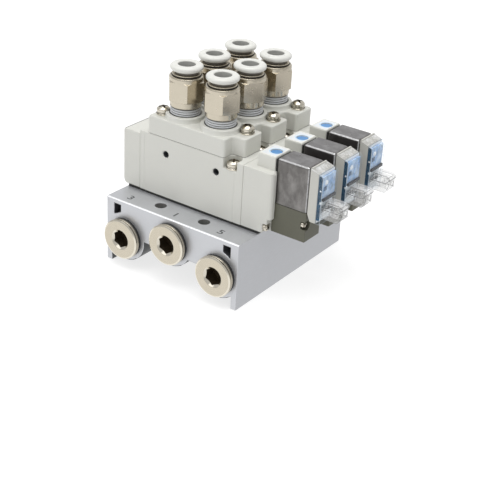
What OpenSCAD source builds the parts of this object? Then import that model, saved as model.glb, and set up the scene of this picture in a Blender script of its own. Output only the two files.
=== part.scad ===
// Three-station solenoid valve manifold: five-port valves with ports on top, bolted side by side
// on one extruded aluminium bar. X runs along the valves (coils toward +X), Y along the bar,
// +Z is up and z = 0 is the foot of the bar. The origin is the centre of the bar's footprint.

/* [Manifold bar] */
// Number of valve stations
stations = 3; // [3:1:3]
// Distance between two valves
pitch = 16; // [15.8:0.1:20]
// End of the bar to the middle of the first valve
end_margin = 18.75; // [17:0.25:26]
// Width of the bar
man_w = 59.4; // [58.6:0.2:66]
// Height of the bar
man_h = 25.8; // [25:0.2:30]
// Distance of an outer gallery from the middle
gallery_x = 21.1; // [20.6:0.1:22]
// Height of the outer galleries
gallery_z = 11.6; // [11.2:0.1:12.2]
// Height of the middle gallery
mid_gallery_z = 16.6; // [16.2:0.1:17.2]
// Diameter of a gallery
gallery_d = 10.2; // [9:0.1:11]
// Core diameter of the threaded port at each end of a gallery
end_port_d = 11.6; // [11.2:0.1:12.2]
// Depth of that threaded port
end_port_deep = 12; // [10:0.5:12.5]
// Outer radius of the extrusion around a gallery
lobe_r = 9.1; // [8.6:0.1:9.3]
// Thickness of the two legs
leg_t = 2.4; // [1.8:0.1:3]
// Underside of the web between the galleries
web_z = 12.3; // [11.8:0.1:13]
// Width of the lightening slot in each upper corner
slot_w = 3.2; // [2:0.1:3.4]
// Distance of the lightening slot from the side
slot_in = 3.4; // [2.4:0.1:4]
// Distance of the lightening slot from the top
slot_down = 2; // [1.8:0.1:3]
// Hole for a screw that fixes the bar
fix_hole_d = 4.3; // [3.4:0.1:4.6]
// Half distance of the fixing holes across the bar
fix_x = 9.8; // [9.4:0.1:10.6]
// Distance of the fixing holes from the end of the bar
fix_in = 6.6; // [4:0.1:7]
// Passage from a gallery to a valve
passage_d = 4; // [2.6:0.1:4.4]
// Half distance of the two exhaust passages
exhaust_x = 17.5; // [17:0.1:18.4]

/* [Port plugs] */
// Diameter of the plug's flange
plug_d = 15.3; // [14.6:0.1:16.4]
// Thickness of the plug's flange
plug_t = 1.8; // [1.4:0.1:2.6]
// Length of the plug's shank in the bar
plug_len = 8; // [6:0.5:12]
// Hexagon socket, across flats
plug_hex = 6; // [5:0.5:7]
// Depth of the hexagon socket
plug_hex_depth = 5; // [3:0.5:6]
// Thickness of the sealing ring under the flange
seal_t = 1.1; // [0.8:0.1:1.3]

/* [Valve body] */
// Width of a valve
valve_w = 15; // [14.6:0.1:15.4]
// Left end of the body
body_x0 = -23.8; // [-25:0.1:-23]
// Length of the body
body_len = 45.8; // [45:0.1:47]
// Thickness of the gasket under the body
gasket_t = 0.9; // [0.8:0.1:1.4]
// Distance of the gasket's lip from both ends of the body
lip_in = 8; // [6:0.5:14]
// Height of the body
body_h = 23; // [22.4:0.1:26]
// Spool bore
spool_d = 6.6; // [5.6:0.1:6.8]
// Height of the spool bore above the body's foot
spool_z = 9.7; // [9:0.1:10.2]
// Half travel room of the spool at each end
spool_travel = 3; // [2:0.1:3.4]
// Through hole in the side of the body
side_hole_d = 2.3; // [1.8:0.1:2.6]
// Place of the left side hole
side_hole_xa = -11.9; // [-12.4:0.1:-11.4]
// Place of the right side hole
side_hole_xb = 10.4; // [9.8:0.1:11]
// Side holes below the top of the body
side_hole_down = 6.2; // [5.4:0.1:7]
// Radius of the notch for a fixing screw
notch_r = 2.9; // [2.75:0.05:3]
// Depth of that notch
notch_deep = 3.6; // [3:0.1:4.2]

/* [End cap] */
// Length of the end cap
cap_len = 7.9; // [6:0.1:10]
// Cap's top below the body's top
cap_drop = 1.2; // [0.6:0.1:2]
// Cap's foot above the body's foot
cap_raise = 0.1; // [0:0.1:0.6]

/* [Port block] */
// Left end of the block
block_x0 = -20.1; // [-20.8:0.1:-19.6]
// Length of the block
block_len = 39.1; // [38.4:0.1:39.6]
// Height of the block's slab
block_h = 6.8; // [6:0.1:8]
// Length of an ear
ear_len = 5.3; // [5:0.1:5.6]
// Width of an ear
ear_w = 10.1; // [9.6:0.1:10.4]
// Diameter of a port boss
boss_d = 14.2; // [13.2:0.1:14.4]
// Height of a port boss above the slab
boss_h = 1.9; // [1:0.1:3]
// Place of the left port
port_xa = -9.2; // [-9.6:0.1:-9]
// Place of the right port
port_xb = 6.4; // [6.2:0.1:6.8]
// Core diameter of the port's thread
port_d = 8.7; // [8:0.1:9.4]
// Depth of the port
port_deep = 7; // [6:0.1:7.6]
// Passage from the left port to the spool
way_xa = -7.6; // [-8:0.1:-7.2]
// Passage from the right port to the spool
way_xb = 5; // [4.6:0.1:5.4]
// Diameter of those passages
way_d = 4; // [3:0.1:4]

/* [Fittings] */
// Across flats of the hexagon
hex_af = 12; // [11.5:0.1:12.4]
// Length of the hexagon's flats
flat_len = 7.3; // [6:0.1:9]
// Length of the turned foot under the flats
foot_len = 2.4; // [1.6:0.1:3]
// Diameter of the turned foot
foot_d = 11.4; // [11:0.1:11.6]
// Length of the turned shoulder over the flats
shoulder_len = 1.7; // [1.2:0.1:2.4]
// Diameter of the turned shoulder
shoulder_d = 12.3; // [12:0.1:12.8]
// Thread left standing out of the boss
thread_out = 2.6; // [2:0.1:6]
// Outer diameter of the thread
thread_d = 10.2; // [9.6:0.1:10.6]
// Thread inside the port
thread_in = 5.4; // [4:0.1:5.8]
// Tube that the fitting takes
tube_d = 6; // [5:0.5:6.5]
// Depth of the tube socket from the top of the collar
tube_deep = 14; // [11:0.5:15]
// Outer diameter of the release collar's sleeve
sleeve_d = 8.2; // [7.9:0.1:8.6]
// Head diameter of the release collar
collar_d = 11.7; // [10.6:0.1:12]
// Head thickness of the release collar
collar_t = 2.3; // [1.8:0.1:2.6]
// Travel of the release collar
collar_travel = 0.7; // [0.4:0.1:1]
// Diameter of the metal ring that guides the collar
ring_d = 10.3; // [9.8:0.1:10.6]
// Height of that ring above the shoulder
ring_h = 0.8; // [0.7:0.1:1.4]

/* [Pilot unit] */
// Width of the pilot unit
pilot_w = 9.6; // [9:0.1:10.4]
// Length of the adaptor's wide lower part
adaptor_len = 12.2; // [12:0.1:13]
// Adaptor's foot above the body's foot
adaptor_raise = 0.1; // [0:0.1:0.5]
// Height of the overhang that takes the pilot's base, above the adaptor's foot
overhang = 5.5; // [5:0.1:6]
// Start of the adaptor's narrow head, from the body's end
head_in = 3.9; // [3.4:0.1:4.4]
// Length of the adaptor's narrow head
head_len = 7.1; // [6.8:0.1:7.2]
// Height of that head above the body's top
head_h = 5; // [4.6:0.1:6]
// Diameter of the manual override button
button_d = 4.2; // [3.4:0.1:4.4]
// Middle of the button from the right end of the head
button_in = 2.8; // [2.7:0.1:3.6]
// Travel of the manual override button
button_travel = 1.2; // [0.6:0.1:1.5]
// Depth of the pilot's seat in the adaptor
seat_deep = 0.6; // [0.4:0.1:0.7]
// Length of the coil's cover
coil_len = 13.2; // [12.6:0.1:14]
// Height of the coil's cover
coil_h = 16.7; // [15.6:0.1:17.4]
// Top of the cover above the top of the adaptor's head
cover_rise = 0.3; // [0:0.1:0.6]
// Sheet thickness of the coil's cover
cover_t = 0.6; // [0.4:0.1:0.8]
// Rounding of the cover's edges
cover_r = 1.2; // [0.8:0.1:1.6]
// Diameter of the armature
armature_d = 3; // [2.4:0.1:3.4]
// Travel of the armature
armature_travel = 0.6; // [0.3:0.1:0.8]
// Toe of the pilot's moulded base before the cover
base_toe = 0.6; // [0.4:0.1:0.8]
// Right end of the base short of the cover's end
base_short = 0.1; // [0:0.1:0.6]
// Base's foot above the body's foot
base_raise = 0.6; // [0.3:0.1:1]
// Height of the base's two screws above its foot
base_screw_up = 6.1; // [5.6:0.1:6.6]
// Middle of those screws from the side of the base
base_screw_in = 1.2; // [1:0.1:1.6]
// Diameter of the corner pockets that the screws sit in
base_pocket_d = 3.5; // [3.2:0.1:3.7]

/* [Connector] */
// Length of the opaque part of the housing
housing_len = 3.4; // [2.8:0.1:4]
// Length of the clear front of the housing
clear_len = 1.7; // [1.2:0.1:2.4]
// Foot of the housing above the base's foot
housing_raise = 8.5; // [7.6:0.1:9]
// Fall of the housing's top toward its front
housing_fall = 1.7; // [1:0.1:2.4]
// Length of the plug outside the housing
lead_plug_len = 6; // [4.5:0.1:8]
// Width of the plug
lead_plug_w = 7.4; // [6:0.1:8]
// Height of the plug
lead_plug_h = 3.6; // [3:0.1:4.6]
// Foot of the plug above the housing's foot
lead_plug_z = 2.1; // [1:0.1:3]
// Height of the latch above the plug
latch_h = 2.2; // [2:0.1:3]
// Thickness of the latch
latch_t = 0.9; // [0.7:0.1:1.1]
// Diameter of the two wire entries
wire_d = 1.8; // [1.2:0.1:2]

/* [Screws and clearances] */
// Head diameter of the block and valve screws
head_d = 5.2; // [4.6:0.1:5.4]
// Head height of the block and valve screws
head_t = 3; // [2.4:0.1:3.2]
// Shank diameter of the block and valve screws
shank_d = 2.5; // [2:0.1:2.5]
// Shank length of a block screw
block_screw_len = 14; // [10:0.5:15]
// Grip of a valve screw in the bar
valve_screw_grip = 5; // [3:0.5:6]
// Head diameter of the small screws of the adaptor
small_head_d = 3; // [2.4:0.1:3.4]
// Height of the adaptor's lower small screw above its foot
small_up = 1.8; // [1.8:0.1:2.2]
// Depth of the adaptor's upper small screw below the top
small_down = 2.6; // [2.4:0.1:3]
// Depth of the seats of all small screws
small_seat = 1.9; // [1.7:0.1:2.2]
// Head diameter of the screws of the pilot's base
base_head_d = 2.4; // [2:0.1:2.6]
// Head height of all small screws
small_head_t = 1.6; // [1.2:0.1:1.7]
// Shank length of the screws of the pilot's base
base_screw_len = 4.5; // [3:0.1:5]
// Shank diameter of the small pilot screws
small_shank_d = 1.6; // [1.2:0.1:1.8]
// Distance between a pilot screw's tip and the valve screw before it
tip_gap = 1.4; // [0.4:0.1:2]
// Radial clearance of sliding parts
run_clear = 0.05; // [0.03:0.01:0.08]
// Clearance of fixed parts in their seats
fit_clear = 0.1; // [0.05:0.05:0.15]

/* [Hidden] */
$fn = 48;
eps = 0.01;
man_l = (stations - 1) * pitch + 2 * end_margin;
body_x1 = body_x0 + body_len;
z_top = man_h;
z_body = z_top + gasket_t;
z_block = z_body + body_h;
z_slab = z_block + block_h;
z_boss = z_slab + boss_h;
z_spool = z_body + spool_z;
block_x1 = block_x0 + block_len;
block_mid = (block_x0 + block_x1) / 2;
ear_y = ear_w - valve_w / 2;
bscrew_dx = (block_len - ear_len) / 2 - 0.65;
bscrew_y = (valve_w / 2 - ear_y) / 2 + 0.5;
vscrew_dx = (block_len - ear_len) / 2;
vscrew_y = valve_w / 2 - head_d / 2 + 0.3;
vscrew_seat = z_block - notch_deep;
vscrew_len = vscrew_seat - z_top + valve_screw_grip;
hole_gap = fit_clear;
z_hex = z_boss + thread_out;
z_flat = z_hex + foot_len;
z_flat_top = z_flat + flat_len;
z_shoulder = z_flat_top + shoulder_len;
z_ring = z_shoulder + ring_h;
z_collar = z_ring + collar_travel + fit_clear;
z_tube = z_collar + collar_t;
collar_bore_d = tube_d + 0.2;
sleeve_len = 5;
// angle at which each fitting came to a stop when it was screwed in
hex_turns = [[11, 9], [26, -9], [40, 9]];
adaptor_x1 = body_x1 + adaptor_len;
z_adaptor = z_body + adaptor_raise;
head_x0 = body_x1 + head_in;
head_x1 = head_x0 + head_len;
button_x = head_x1 - button_in;
z_head = z_block + head_h;
pilot_x0 = adaptor_x1 - seat_deep;
pilot_x1 = pilot_x0 + coil_len;
z_cover = z_head + cover_rise;
z_coil = z_cover - coil_h;
z_base = z_body + base_raise;
base_x0 = pilot_x0 - base_toe;
base_x1 = pilot_x1 - base_short;
z_house = z_base + housing_raise;
house_x0 = pilot_x1 + fit_clear;
clear_x0 = house_x0 + housing_len;
clear_x1 = clear_x0 + clear_len;
house_wall = 0.9;
house_floor = 3.2;
house_chamfer = 2.6;
z_plug = z_house + lead_plug_z;
z_button = z_head - 0.1;
button_len = 8;
armature_len = 6.5;
armature_x0 = pilot_x0 + 2;
armature_z = (z_coil + z_cover) / 2;
coil_in = cover_t + fit_clear;
small_y = valve_w / 2 - small_head_d / 2 - 0.1;
small_zs = [z_block - small_down, z_adaptor + small_up];
small_seat_x = base_x0 - small_seat;
small_tip_x = block_mid + vscrew_dx + shank_d / 2 + tip_gap;
base_screw_z = z_base + base_screw_up;
base_screw_y = pilot_w / 2 - base_screw_in;
base_seat_x = base_x1 - small_seat;
z_overhang = z_adaptor + overhang;
gasket_end = man_w / 2 - 0.5;

function valve_y(i) = (i - 1 - (stations - 1) / 2) * pitch;

// A box between two corners
module box(x0, x1, y0, y1, z0, z1) {
    translate([x0, y0, z0]) cube([x1 - x0, y1 - y0, z1 - z0]);
}

// A rectangle with round corners, its arcs true circles
module round_rect(x0, x1, y0, y1, r) {
    translate([x0 + r, y0]) square([x1 - x0 - 2 * r, y1 - y0]);
    translate([x0, y0 + r]) square([x1 - x0, y1 - y0 - 2 * r]);
    for (x = [x0 + r, x1 - r], y = [y0 + r, y1 - r]) translate([x, y]) circle(r = r);
}

// A cylinder along X from x0 to x1
module rod_x(x0, x1, y, z, d) {
    translate([x0, y, z]) rotate([0, 90, 0]) cylinder(d = d, h = x1 - x0);
}

// A cylinder along Z from z0 to z1
module rod_z(x, y, z0, z1, d) {
    translate([x, y, z0]) cylinder(d = d, h = z1 - z0);
}

// Section of the extruded bar, X across and Y up
module bar_section() {
    difference() {
        intersection() {
            translate([-man_w / 2, 0]) square([man_w, man_h]);
            union() {
                translate([-man_w / 2, web_z]) square([man_w, man_h - web_z]);
                for (s = [-1, 1]) {
                    translate([s * gallery_x, gallery_z]) circle(r = lobe_r);
                    translate([s * (man_w - leg_t) / 2 - leg_t / 2, 0]) square([leg_t, web_z + eps]);
                }
                translate([0, mid_gallery_z]) circle(r = lobe_r);
            }
        }
        for (s = [-1, 1]) translate([s * gallery_x, gallery_z]) circle(d = gallery_d);
        translate([0, mid_gallery_z]) circle(d = gallery_d);
        for (s = [-1, 1]) polygon([
            [s * (man_w / 2 - slot_in), man_h - slot_down],
            [s * (man_w / 2 - slot_in - slot_w), man_h - slot_down],
            [s * (man_w / 2 - slot_in - slot_w), man_h - slot_down - slot_w * 0.85],
            [s * (man_w / 2 - slot_in), man_h - slot_down - slot_w * 1.35]
        ]);
    }
}

// The threaded ports at both ends of a gallery, drawn at their core diameter
module end_ports(x, z) {
    for (s = [-1, 1]) translate([x, s * (man_l / 2 - end_port_deep / 2 + eps), z]) rotate([90, 0, 0])
        cylinder(d = end_port_d, h = end_port_deep + 2 * eps, center = true);
}

module manifold() {
    color([0.77, 0.78, 0.8]) difference() {
        rotate([90, 0, 0]) linear_extrude(height = man_l, center = true) bar_section();
        for (s = [-1, 1]) end_ports(s * gallery_x, gallery_z);
        end_ports(0, mid_gallery_z);
        for (x = [-fix_x, fix_x], s = [-1, 1])
            rod_z(x, s * (man_l / 2 - fix_in), -eps, man_h + eps, fix_hole_d);
        for (i = [1:stations]) {
            rod_z(0, valve_y(i), mid_gallery_z, man_h + eps, passage_d);
            for (s = [-1, 1]) {
                rod_z(s * exhaust_x, valve_y(i), gallery_z, man_h + eps, passage_d);
                rod_z(block_mid + s * vscrew_dx, valve_y(i) - s * vscrew_y,
                    man_h - valve_screw_grip - 1, man_h + eps, shank_d + 2 * hole_gap);
            }
        }
    }
}

// One flanged plug, its axis along Y and its face toward -Y
module port_plug() {
    rotate([-90, 0, 0]) difference() {
        rotate_extrude() polygon([
            [0, -plug_t - seal_t], [plug_d / 2 - 0.7, -plug_t - seal_t],
            [plug_d / 2 - 0.3, -plug_t - seal_t + 0.4], [plug_d / 2 - 0.3, -seal_t - plug_t * 0.55],
            [plug_d / 2, -seal_t - plug_t * 0.55 + 0.3], [plug_d / 2, -seal_t],
            [end_port_d / 2 - fit_clear - 0.5, -seal_t], [end_port_d / 2 - fit_clear - 0.5, 0.4],
            [end_port_d / 2 - fit_clear, 0.9], [end_port_d / 2 - fit_clear, plug_len - 0.8],
            [end_port_d / 2 - fit_clear - 0.8, plug_len], [0, plug_len]
        ]);
        translate([0, 0, -plug_t - seal_t - eps]) rotate([0, 0, 30])
            cylinder(d = plug_hex / cos(30), h = plug_hex_depth + eps, $fn = 6);
        translate([0, 0, -plug_t - seal_t - eps])
            cylinder(d1 = plug_hex / cos(30) + 0.8, d2 = plug_hex / cos(30) - 0.6, h = 0.7);
    }
}

module port_plugs() {
    color([0.8, 0.76, 0.66]) {
        for (s = [-1, 1]) translate([s * gallery_x, -man_l / 2, gallery_z]) port_plug();
        translate([0, -man_l / 2, mid_gallery_z]) port_plug();
    }
}

// One flat sealing ring round a plug's shank
module plug_seal() {
    rotate([-90, 0, 0]) translate([0, 0, -seal_t]) difference() {
        cylinder(d = plug_d - 0.3, h = seal_t);
        translate([0, 0, -eps]) cylinder(d = end_port_d - 2 * fit_clear - 0.6, h = seal_t + 2 * eps);
    }
}

module plug_seals() {
    color([0.1, 0.1, 0.1]) {
        for (s = [-1, 1]) translate([s * gallery_x, -man_l / 2, gallery_z]) plug_seal();
        translate([0, -man_l / 2, mid_gallery_z]) plug_seal();
    }
}

// The flat gasket between one valve and the bar, with its edge lips
module gasket() {
    edge = valve_w / 2 - 0.3;
    difference() {
        union() {
            box(-gasket_end, gasket_end, -edge, edge, z_top, z_body);
            box(body_x0 + lip_in, body_x1 - lip_in, -edge - 0.2, edge + 0.2, z_top, z_body - 0.2);
        }
        for (x = [-exhaust_x, 0, exhaust_x]) rod_z(x, 0, z_top - eps, z_body + eps, passage_d);
        for (s = [-1, 1])
            rod_z(block_mid + s * vscrew_dx, -s * vscrew_y, z_top - eps, z_body + eps, shank_d + 2 * hole_gap);
    }
}

module gaskets() {
    color([0.06, 0.06, 0.06])
        for (i = [1:stations]) translate([0, valve_y(i), 0]) gasket();
}

// Room for a valve screw: a notch that is open at the side, and the hole under it
module valve_screw_room(s) {
    half = valve_w / 2;
    translate([block_mid + s * vscrew_dx, -s * vscrew_y, 0]) {
        translate([0, 0, vscrew_seat]) cylinder(r = notch_r, h = notch_deep + eps);
        box(-notch_r, notch_r, s > 0 ? -half : 0, s > 0 ? 0 : half, vscrew_seat, z_block + eps);
        rod_z(0, 0, z_body - eps, vscrew_seat + eps, shank_d + 2 * hole_gap);
    }
}

module valve_body() {
    half = valve_w / 2;
    color([0.82, 0.82, 0.79]) difference() {
        translate([0, 0, z_body]) linear_extrude(height = body_h)
            round_rect(body_x0, body_x1, -half, half, 0.35);
        // spool bore and the passages that meet it
        rod_x(body_x0 - eps, body_x1 + eps, 0, z_spool, spool_d);
        for (x = [-exhaust_x, 0, exhaust_x]) rod_z(x, 0, z_body - eps, z_spool, passage_d);
        for (x = [way_xa, way_xb]) rod_z(x, 0, z_spool, z_block + eps, way_d);
        // through holes in the side
        for (x = [side_hole_xa, side_hole_xb])
            translate([x, 0, z_block - side_hole_down]) rotate([90, 0, 0]) {
                cylinder(d = side_hole_d, h = valve_w + 1, center = true);
                for (s = [-1, 1]) translate([0, 0, s * (half - 0.2)])
                    cylinder(d1 = side_hole_d + (s < 0 ? 0.9 : 0), d2 = side_hole_d + (s < 0 ? 0 : 0.9),
                        h = 0.42, center = true);
            }
        for (s = [-1, 1]) valve_screw_room(s);
        // threads of the block's screws and of the pilot's screws
        for (s = [-1, 1]) {
            rod_z(block_mid + s * bscrew_dx, s * bscrew_y, z_slab - block_screw_len - 0.6, z_block + eps,
                shank_d + 2 * hole_gap);
            rod_x(small_tip_x - 0.8, body_x1 + eps, -s * small_y, small_zs[max(s, 0)],
                small_shank_d + 2 * hole_gap);
        }
        // shallow parting grooves on both sides
        for (x = [body_x0 + 2.2, body_x1 - 3.5], s = [-1, 1])
            translate([x, s * half, z_body - eps]) rotate([0, 0, 45])
                translate([-0.15, -0.15, 0]) cube([0.3, 0.3, body_h + 2 * eps]);
    }
}

module end_cap() {
    half = valve_w / 2;
    top = z_block - cap_drop;
    color([0.83, 0.83, 0.8]) difference() {
        intersection() {
            translate([0, 0, z_body + cap_raise]) linear_extrude(height = top - z_body - cap_raise)
                round_rect(body_x0 - cap_len, body_x0 + 1, -half, half, 0.9);
            rotate([90, 0, 0]) linear_extrude(height = valve_w + 1, center = true) polygon([
                [body_x0, z_body + cap_raise], [body_x0, top], [body_x0 - cap_len + 0.7, top],
                [body_x0 - cap_len, top - 0.7], [body_x0 - cap_len, z_body + cap_raise + 1.6],
                [body_x0 - cap_len + 1.2, z_body + cap_raise]
            ]);
        }
        rod_x(body_x0 - spool_travel - 1, body_x0 + eps, 0, z_spool, spool_d);
        valve_screw_room(-1);
    }
}

// Outline of the port block seen from above, the same when turned half round
module block_outline() {
    half = valve_w / 2;
    round_rect(block_x0 + ear_len, block_x1 - ear_len, -half, half, 0.8);
    translate([block_x0 + ear_len, -half]) square([block_len - 2 * ear_len, 2 * half - 4]);
    translate([block_x0 + ear_len, -half + 4]) square([block_len - 2 * ear_len, 2 * half - 4]);
    round_rect(block_x0, block_x0 + ear_len + 2, -half, ear_y, 1);
    round_rect(block_x1 - ear_len - 2, block_x1, -ear_y, half, 1);
}

module port_block() {
    half = valve_w / 2;
    color([0.82, 0.82, 0.79]) difference() {
        union() {
            translate([0, 0, z_block]) linear_extrude(height = block_h) block_outline();
            for (x = [port_xa, port_xb]) {
                rod_z(x, 0, z_block, z_boss, boss_d);
                translate([x, 0, z_slab - eps]) intersection() {
                    cylinder(d1 = boss_d + 1.2, d2 = boss_d - 0.2, h = 0.7);
                    translate([-boss_d, -half, 0]) cube([2 * boss_d, valve_w, 2]);
                }
            }
        }
        for (x = [port_xa, port_xb]) {
            rod_z(x, 0, z_boss - port_deep, z_boss + eps, port_d);
            translate([x, 0, z_boss - 1.4]) cylinder(d1 = port_d, d2 = thread_d + 0.4, h = 1.4 + eps);
        }
        for (x = [way_xa, way_xb]) rod_z(x, 0, z_block - eps, z_boss - port_deep + eps, way_d);
        for (s = [-1, 1]) translate([block_mid + s * bscrew_dx, s * bscrew_y, 0]) {
            rod_z(0, 0, z_block - eps, z_slab + eps, shank_d + 2 * hole_gap);
            rod_z(0, 0, z_slab, z_boss + eps, head_d + 0.3);
        }
    }
}

// The spool: a turned shaft with sealing lands, at the right end of its travel
module spool() {
    x0 = body_x0 + spool_travel + 0.5;
    len = body_len - spool_travel - 1;
    r = spool_d / 2 - run_clear;
    core = 2;
    land = 2.4;
    gap = (len - 6 * land) / 5;
    color([0.72, 0.72, 0.72]) translate([x0, 0, z_spool]) rotate([0, 90, 0]) union() {
        cylinder(r = core, h = len);
        for (k = [0:5]) translate([0, 0, k * (land + gap)]) cylinder(r = r, h = land);
    }
}

module pilot_adaptor() {
    half = valve_w / 2;
    seat = pilot_w / 2 + fit_clear;
    color([0.83, 0.83, 0.8]) difference() {
        union() {
            intersection() {
                translate([0, 0, z_adaptor]) linear_extrude(height = z_block - z_adaptor) union() {
                    round_rect(body_x1, adaptor_x1, -half, half, 1.4);
                    translate([body_x1, -half]) square([4, valve_w]);
                }
                rotate([90, 0, 0]) linear_extrude(height = valve_w + 1, center = true) polygon([
                    [body_x1, z_adaptor], [body_x1, z_block], [adaptor_x1 - 0.5, z_block],
                    [adaptor_x1, z_block - 0.5], [adaptor_x1, z_adaptor]
                ]);
            }
            translate([0, 0, z_block - eps]) linear_extrude(height = head_h + eps)
                round_rect(head_x0, head_x1, -pilot_w / 2, pilot_w / 2, 0.3);
        }
        // seat of the pilot unit, and of its base under the overhang
        box(pilot_x0, adaptor_x1 + eps, -seat, seat, z_adaptor - eps, z_block + eps);
        box(base_x0 - fit_clear, adaptor_x1 + eps, -half - eps, half + eps, z_adaptor - eps, z_overhang);
        // corner pockets of the two small screws and their holes
        for (s = [-1, 1]) translate([0, -s * small_y, small_zs[max(s, 0)]]) {
            rod_x(body_x1 - eps, adaptor_x1 + eps, 0, 0, small_shank_d + 2 * hole_gap);
            box(small_seat_x, adaptor_x1 + 1, s > 0 ? -3 : -small_head_d / 2 - 0.15,
                s > 0 ? small_head_d / 2 + 0.15 : 3, s > 0 ? -3 : -small_head_d / 2 - 0.3,
                s > 0 ? small_head_d / 2 + 0.3 : 3);
        }
        // override bore, and the end of the spool bore
        rod_z(button_x, 0, z_head - button_len - button_travel - 0.5, z_head + eps,
            button_d + 2 * run_clear);
        translate([button_x, 0, z_head - 0.25])
            cylinder(d1 = button_d + 2 * run_clear, d2 = button_d + 0.6, h = 0.25 + eps);
        rod_x(body_x1 - eps, body_x1 + 1, 0, z_spool, spool_d);
        valve_screw_room(1);
    }
}

module override_button() {
    color([0.25, 0.5, 0.78]) translate([button_x, 0, z_button - button_len])
        rotate_extrude() polygon([
            [0, 0], [button_d / 2 - 0.5, 0], [button_d / 2 - 0.5, button_len - 3],
            [button_d / 2, button_len - 2.6], [button_d / 2, button_len - 0.2],
            [button_d / 2 - 0.2, button_len], [0, button_len]
        ]);
}

module pilot_gasket() {
    box(head_x1, pilot_x0, -pilot_w / 2 + 0.5, pilot_w / 2 - 0.5, z_block, z_head - 0.6);
}

module pilot_gaskets() {
    color([0.08, 0.08, 0.08])
        for (i = [1:stations]) translate([0, valve_y(i), 0]) pilot_gasket();
}

// Outer form of the coil's cover, less a margin all round
module cover_form(m) {
    half = pilot_w / 2 - m;
    r = cover_r - m * 0.7;
    intersection() {
        translate([0, 0, z_coil + m]) linear_extrude(height = coil_h - 2 * m)
            round_rect(pilot_x0 + m, pilot_x1 - m, -half, half, r);
        translate([pilot_x0 + m, 0, 0]) rotate([90, 0, 90]) linear_extrude(height = coil_len - 2 * m)
            union() {
                round_rect(-half, half, z_coil + m, z_cover - m, r);
                translate([-half, z_coil + m]) square([2 * half, coil_h / 2]);
            }
    }
}

module coil_cover() {
    color([0.42, 0.41, 0.4]) difference() {
        cover_form(0);
        box(pilot_x0 - eps, pilot_x1 - cover_t, -pilot_w / 2 + cover_t + 0.5, pilot_w / 2 - cover_t - 0.5,
            z_coil - eps, z_cover - cover_t - 0.5);
    }
}

module coil() {
    color([0.72, 0.42, 0.2]) difference() {
        box(pilot_x0 + fit_clear, pilot_x1 - cover_t - fit_clear, -pilot_w / 2 + coil_in + 0.5,
            pilot_w / 2 - coil_in - 0.5, z_coil, z_cover - coil_in - 0.5);
        rod_x(armature_x0 - 0.6, armature_x0 + armature_len + armature_travel + 0.6, 0, armature_z,
            armature_d + 2 * run_clear);
    }
}

module armature() {
    color([0.62, 0.62, 0.62])
        rod_x(armature_x0, armature_x0 + armature_len, 0, armature_z, armature_d);
}

module pilot_base() {
    half = pilot_w / 2;
    color([0.42, 0.42, 0.36]) difference() {
        translate([0, 0, z_base]) linear_extrude(height = z_coil - z_base)
            round_rect(base_x0, base_x1, -half, half, 0.3);
        // room for the adaptor above the low left end
        box(base_x0 - eps, pilot_x0, -half - eps, half + eps, z_overhang - fit_clear, z_coil + eps);
        // corner pockets of the two screws that hold the pilot
        for (s = [-1, 1]) {
            rod_x(base_seat_x, base_x1 + eps, s * base_screw_y, base_screw_z, base_pocket_d);
            rod_x(base_seat_x - base_screw_len - 0.6, base_seat_x + eps, s * base_screw_y, base_screw_z,
                small_shank_d + 2 * hole_gap);
        }
    }
}

// Side view of the connector housing between two planes
module house_profile(x0, x1) {
    slope = housing_fall / (housing_len + clear_len);
    polygon([
        [x0, z_house + (x0 < clear_x0 - 1 ? house_chamfer : 0)], [min(x1, x0 + 1.2), z_house],
        [x1, z_house], [x1, z_cover - slope * (x1 - house_x0)],
        [x0, z_cover - slope * (x0 - house_x0)]
    ]);
}

module connector_housing() {
    half = pilot_w / 2;
    color([0.83, 0.82, 0.78]) difference() {
        rotate([90, 0, 0]) linear_extrude(height = pilot_w, center = true)
            house_profile(house_x0, clear_x0);
        box(house_x0 + 1, clear_x0 + eps, -half + house_wall, half - house_wall, z_house + house_floor,
            z_cover - housing_fall - 1);
    }
}

// The clear front with the slot that takes the plug
module clear_window() {
    half = pilot_w / 2;
    color([0.6, 0.75, 0.92, 0.5]) difference() {
        rotate([90, 0, 0]) linear_extrude(height = pilot_w, center = true)
            house_profile(clear_x0, clear_x1);
        box(clear_x0 - eps, clear_x0 + 0.7, -half + house_wall, half - house_wall, z_house + house_floor,
            z_cover - housing_fall - 1);
        box(clear_x0 - 1, clear_x1 + eps, -lead_plug_w / 2 - fit_clear, lead_plug_w / 2 + fit_clear,
            z_plug - fit_clear, z_plug + lead_plug_h + fit_clear);
    }
}

// The clear plug that goes into the housing, with its latch lever
module lead_plug() {
    tip = clear_x1 + lead_plug_len;
    top = z_plug + lead_plug_h;
    color([0.85, 0.87, 0.88, 0.5]) difference() {
        union() {
            translate([0, 0, z_plug]) linear_extrude(height = lead_plug_h) union() {
                round_rect(clear_x1 - 1, tip, -lead_plug_w / 2, lead_plug_w / 2, 0.5);
                translate([clear_x0 + 0.1, -lead_plug_w / 2])
                    square([clear_x1 - clear_x0, lead_plug_w]);
            }
            rotate([90, 0, 0]) linear_extrude(height = lead_plug_w - 2.6, center = true) polygon([
                [clear_x1 + 0.3, top - 0.1], [clear_x1 + 0.3, top + latch_h],
                [tip - 0.6, top + latch_h], [tip + 0.6, top + latch_h - 0.5],
                [tip + 1.2, top + latch_h - 1.4], [tip + 0.6, top + latch_h - 1.7],
                [tip - 0.2, top + latch_h - latch_t], [clear_x1 + 1.4, top + latch_h - latch_t],
                [clear_x1 + 1.4, top - 0.1]
            ]);
        }
        // entries of the two wires
        for (s = [-1, 1]) rod_x(tip - 3.6, tip + eps, s * lead_plug_w / 4, z_plug + lead_plug_h / 2, wire_d);
    }
}

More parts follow.
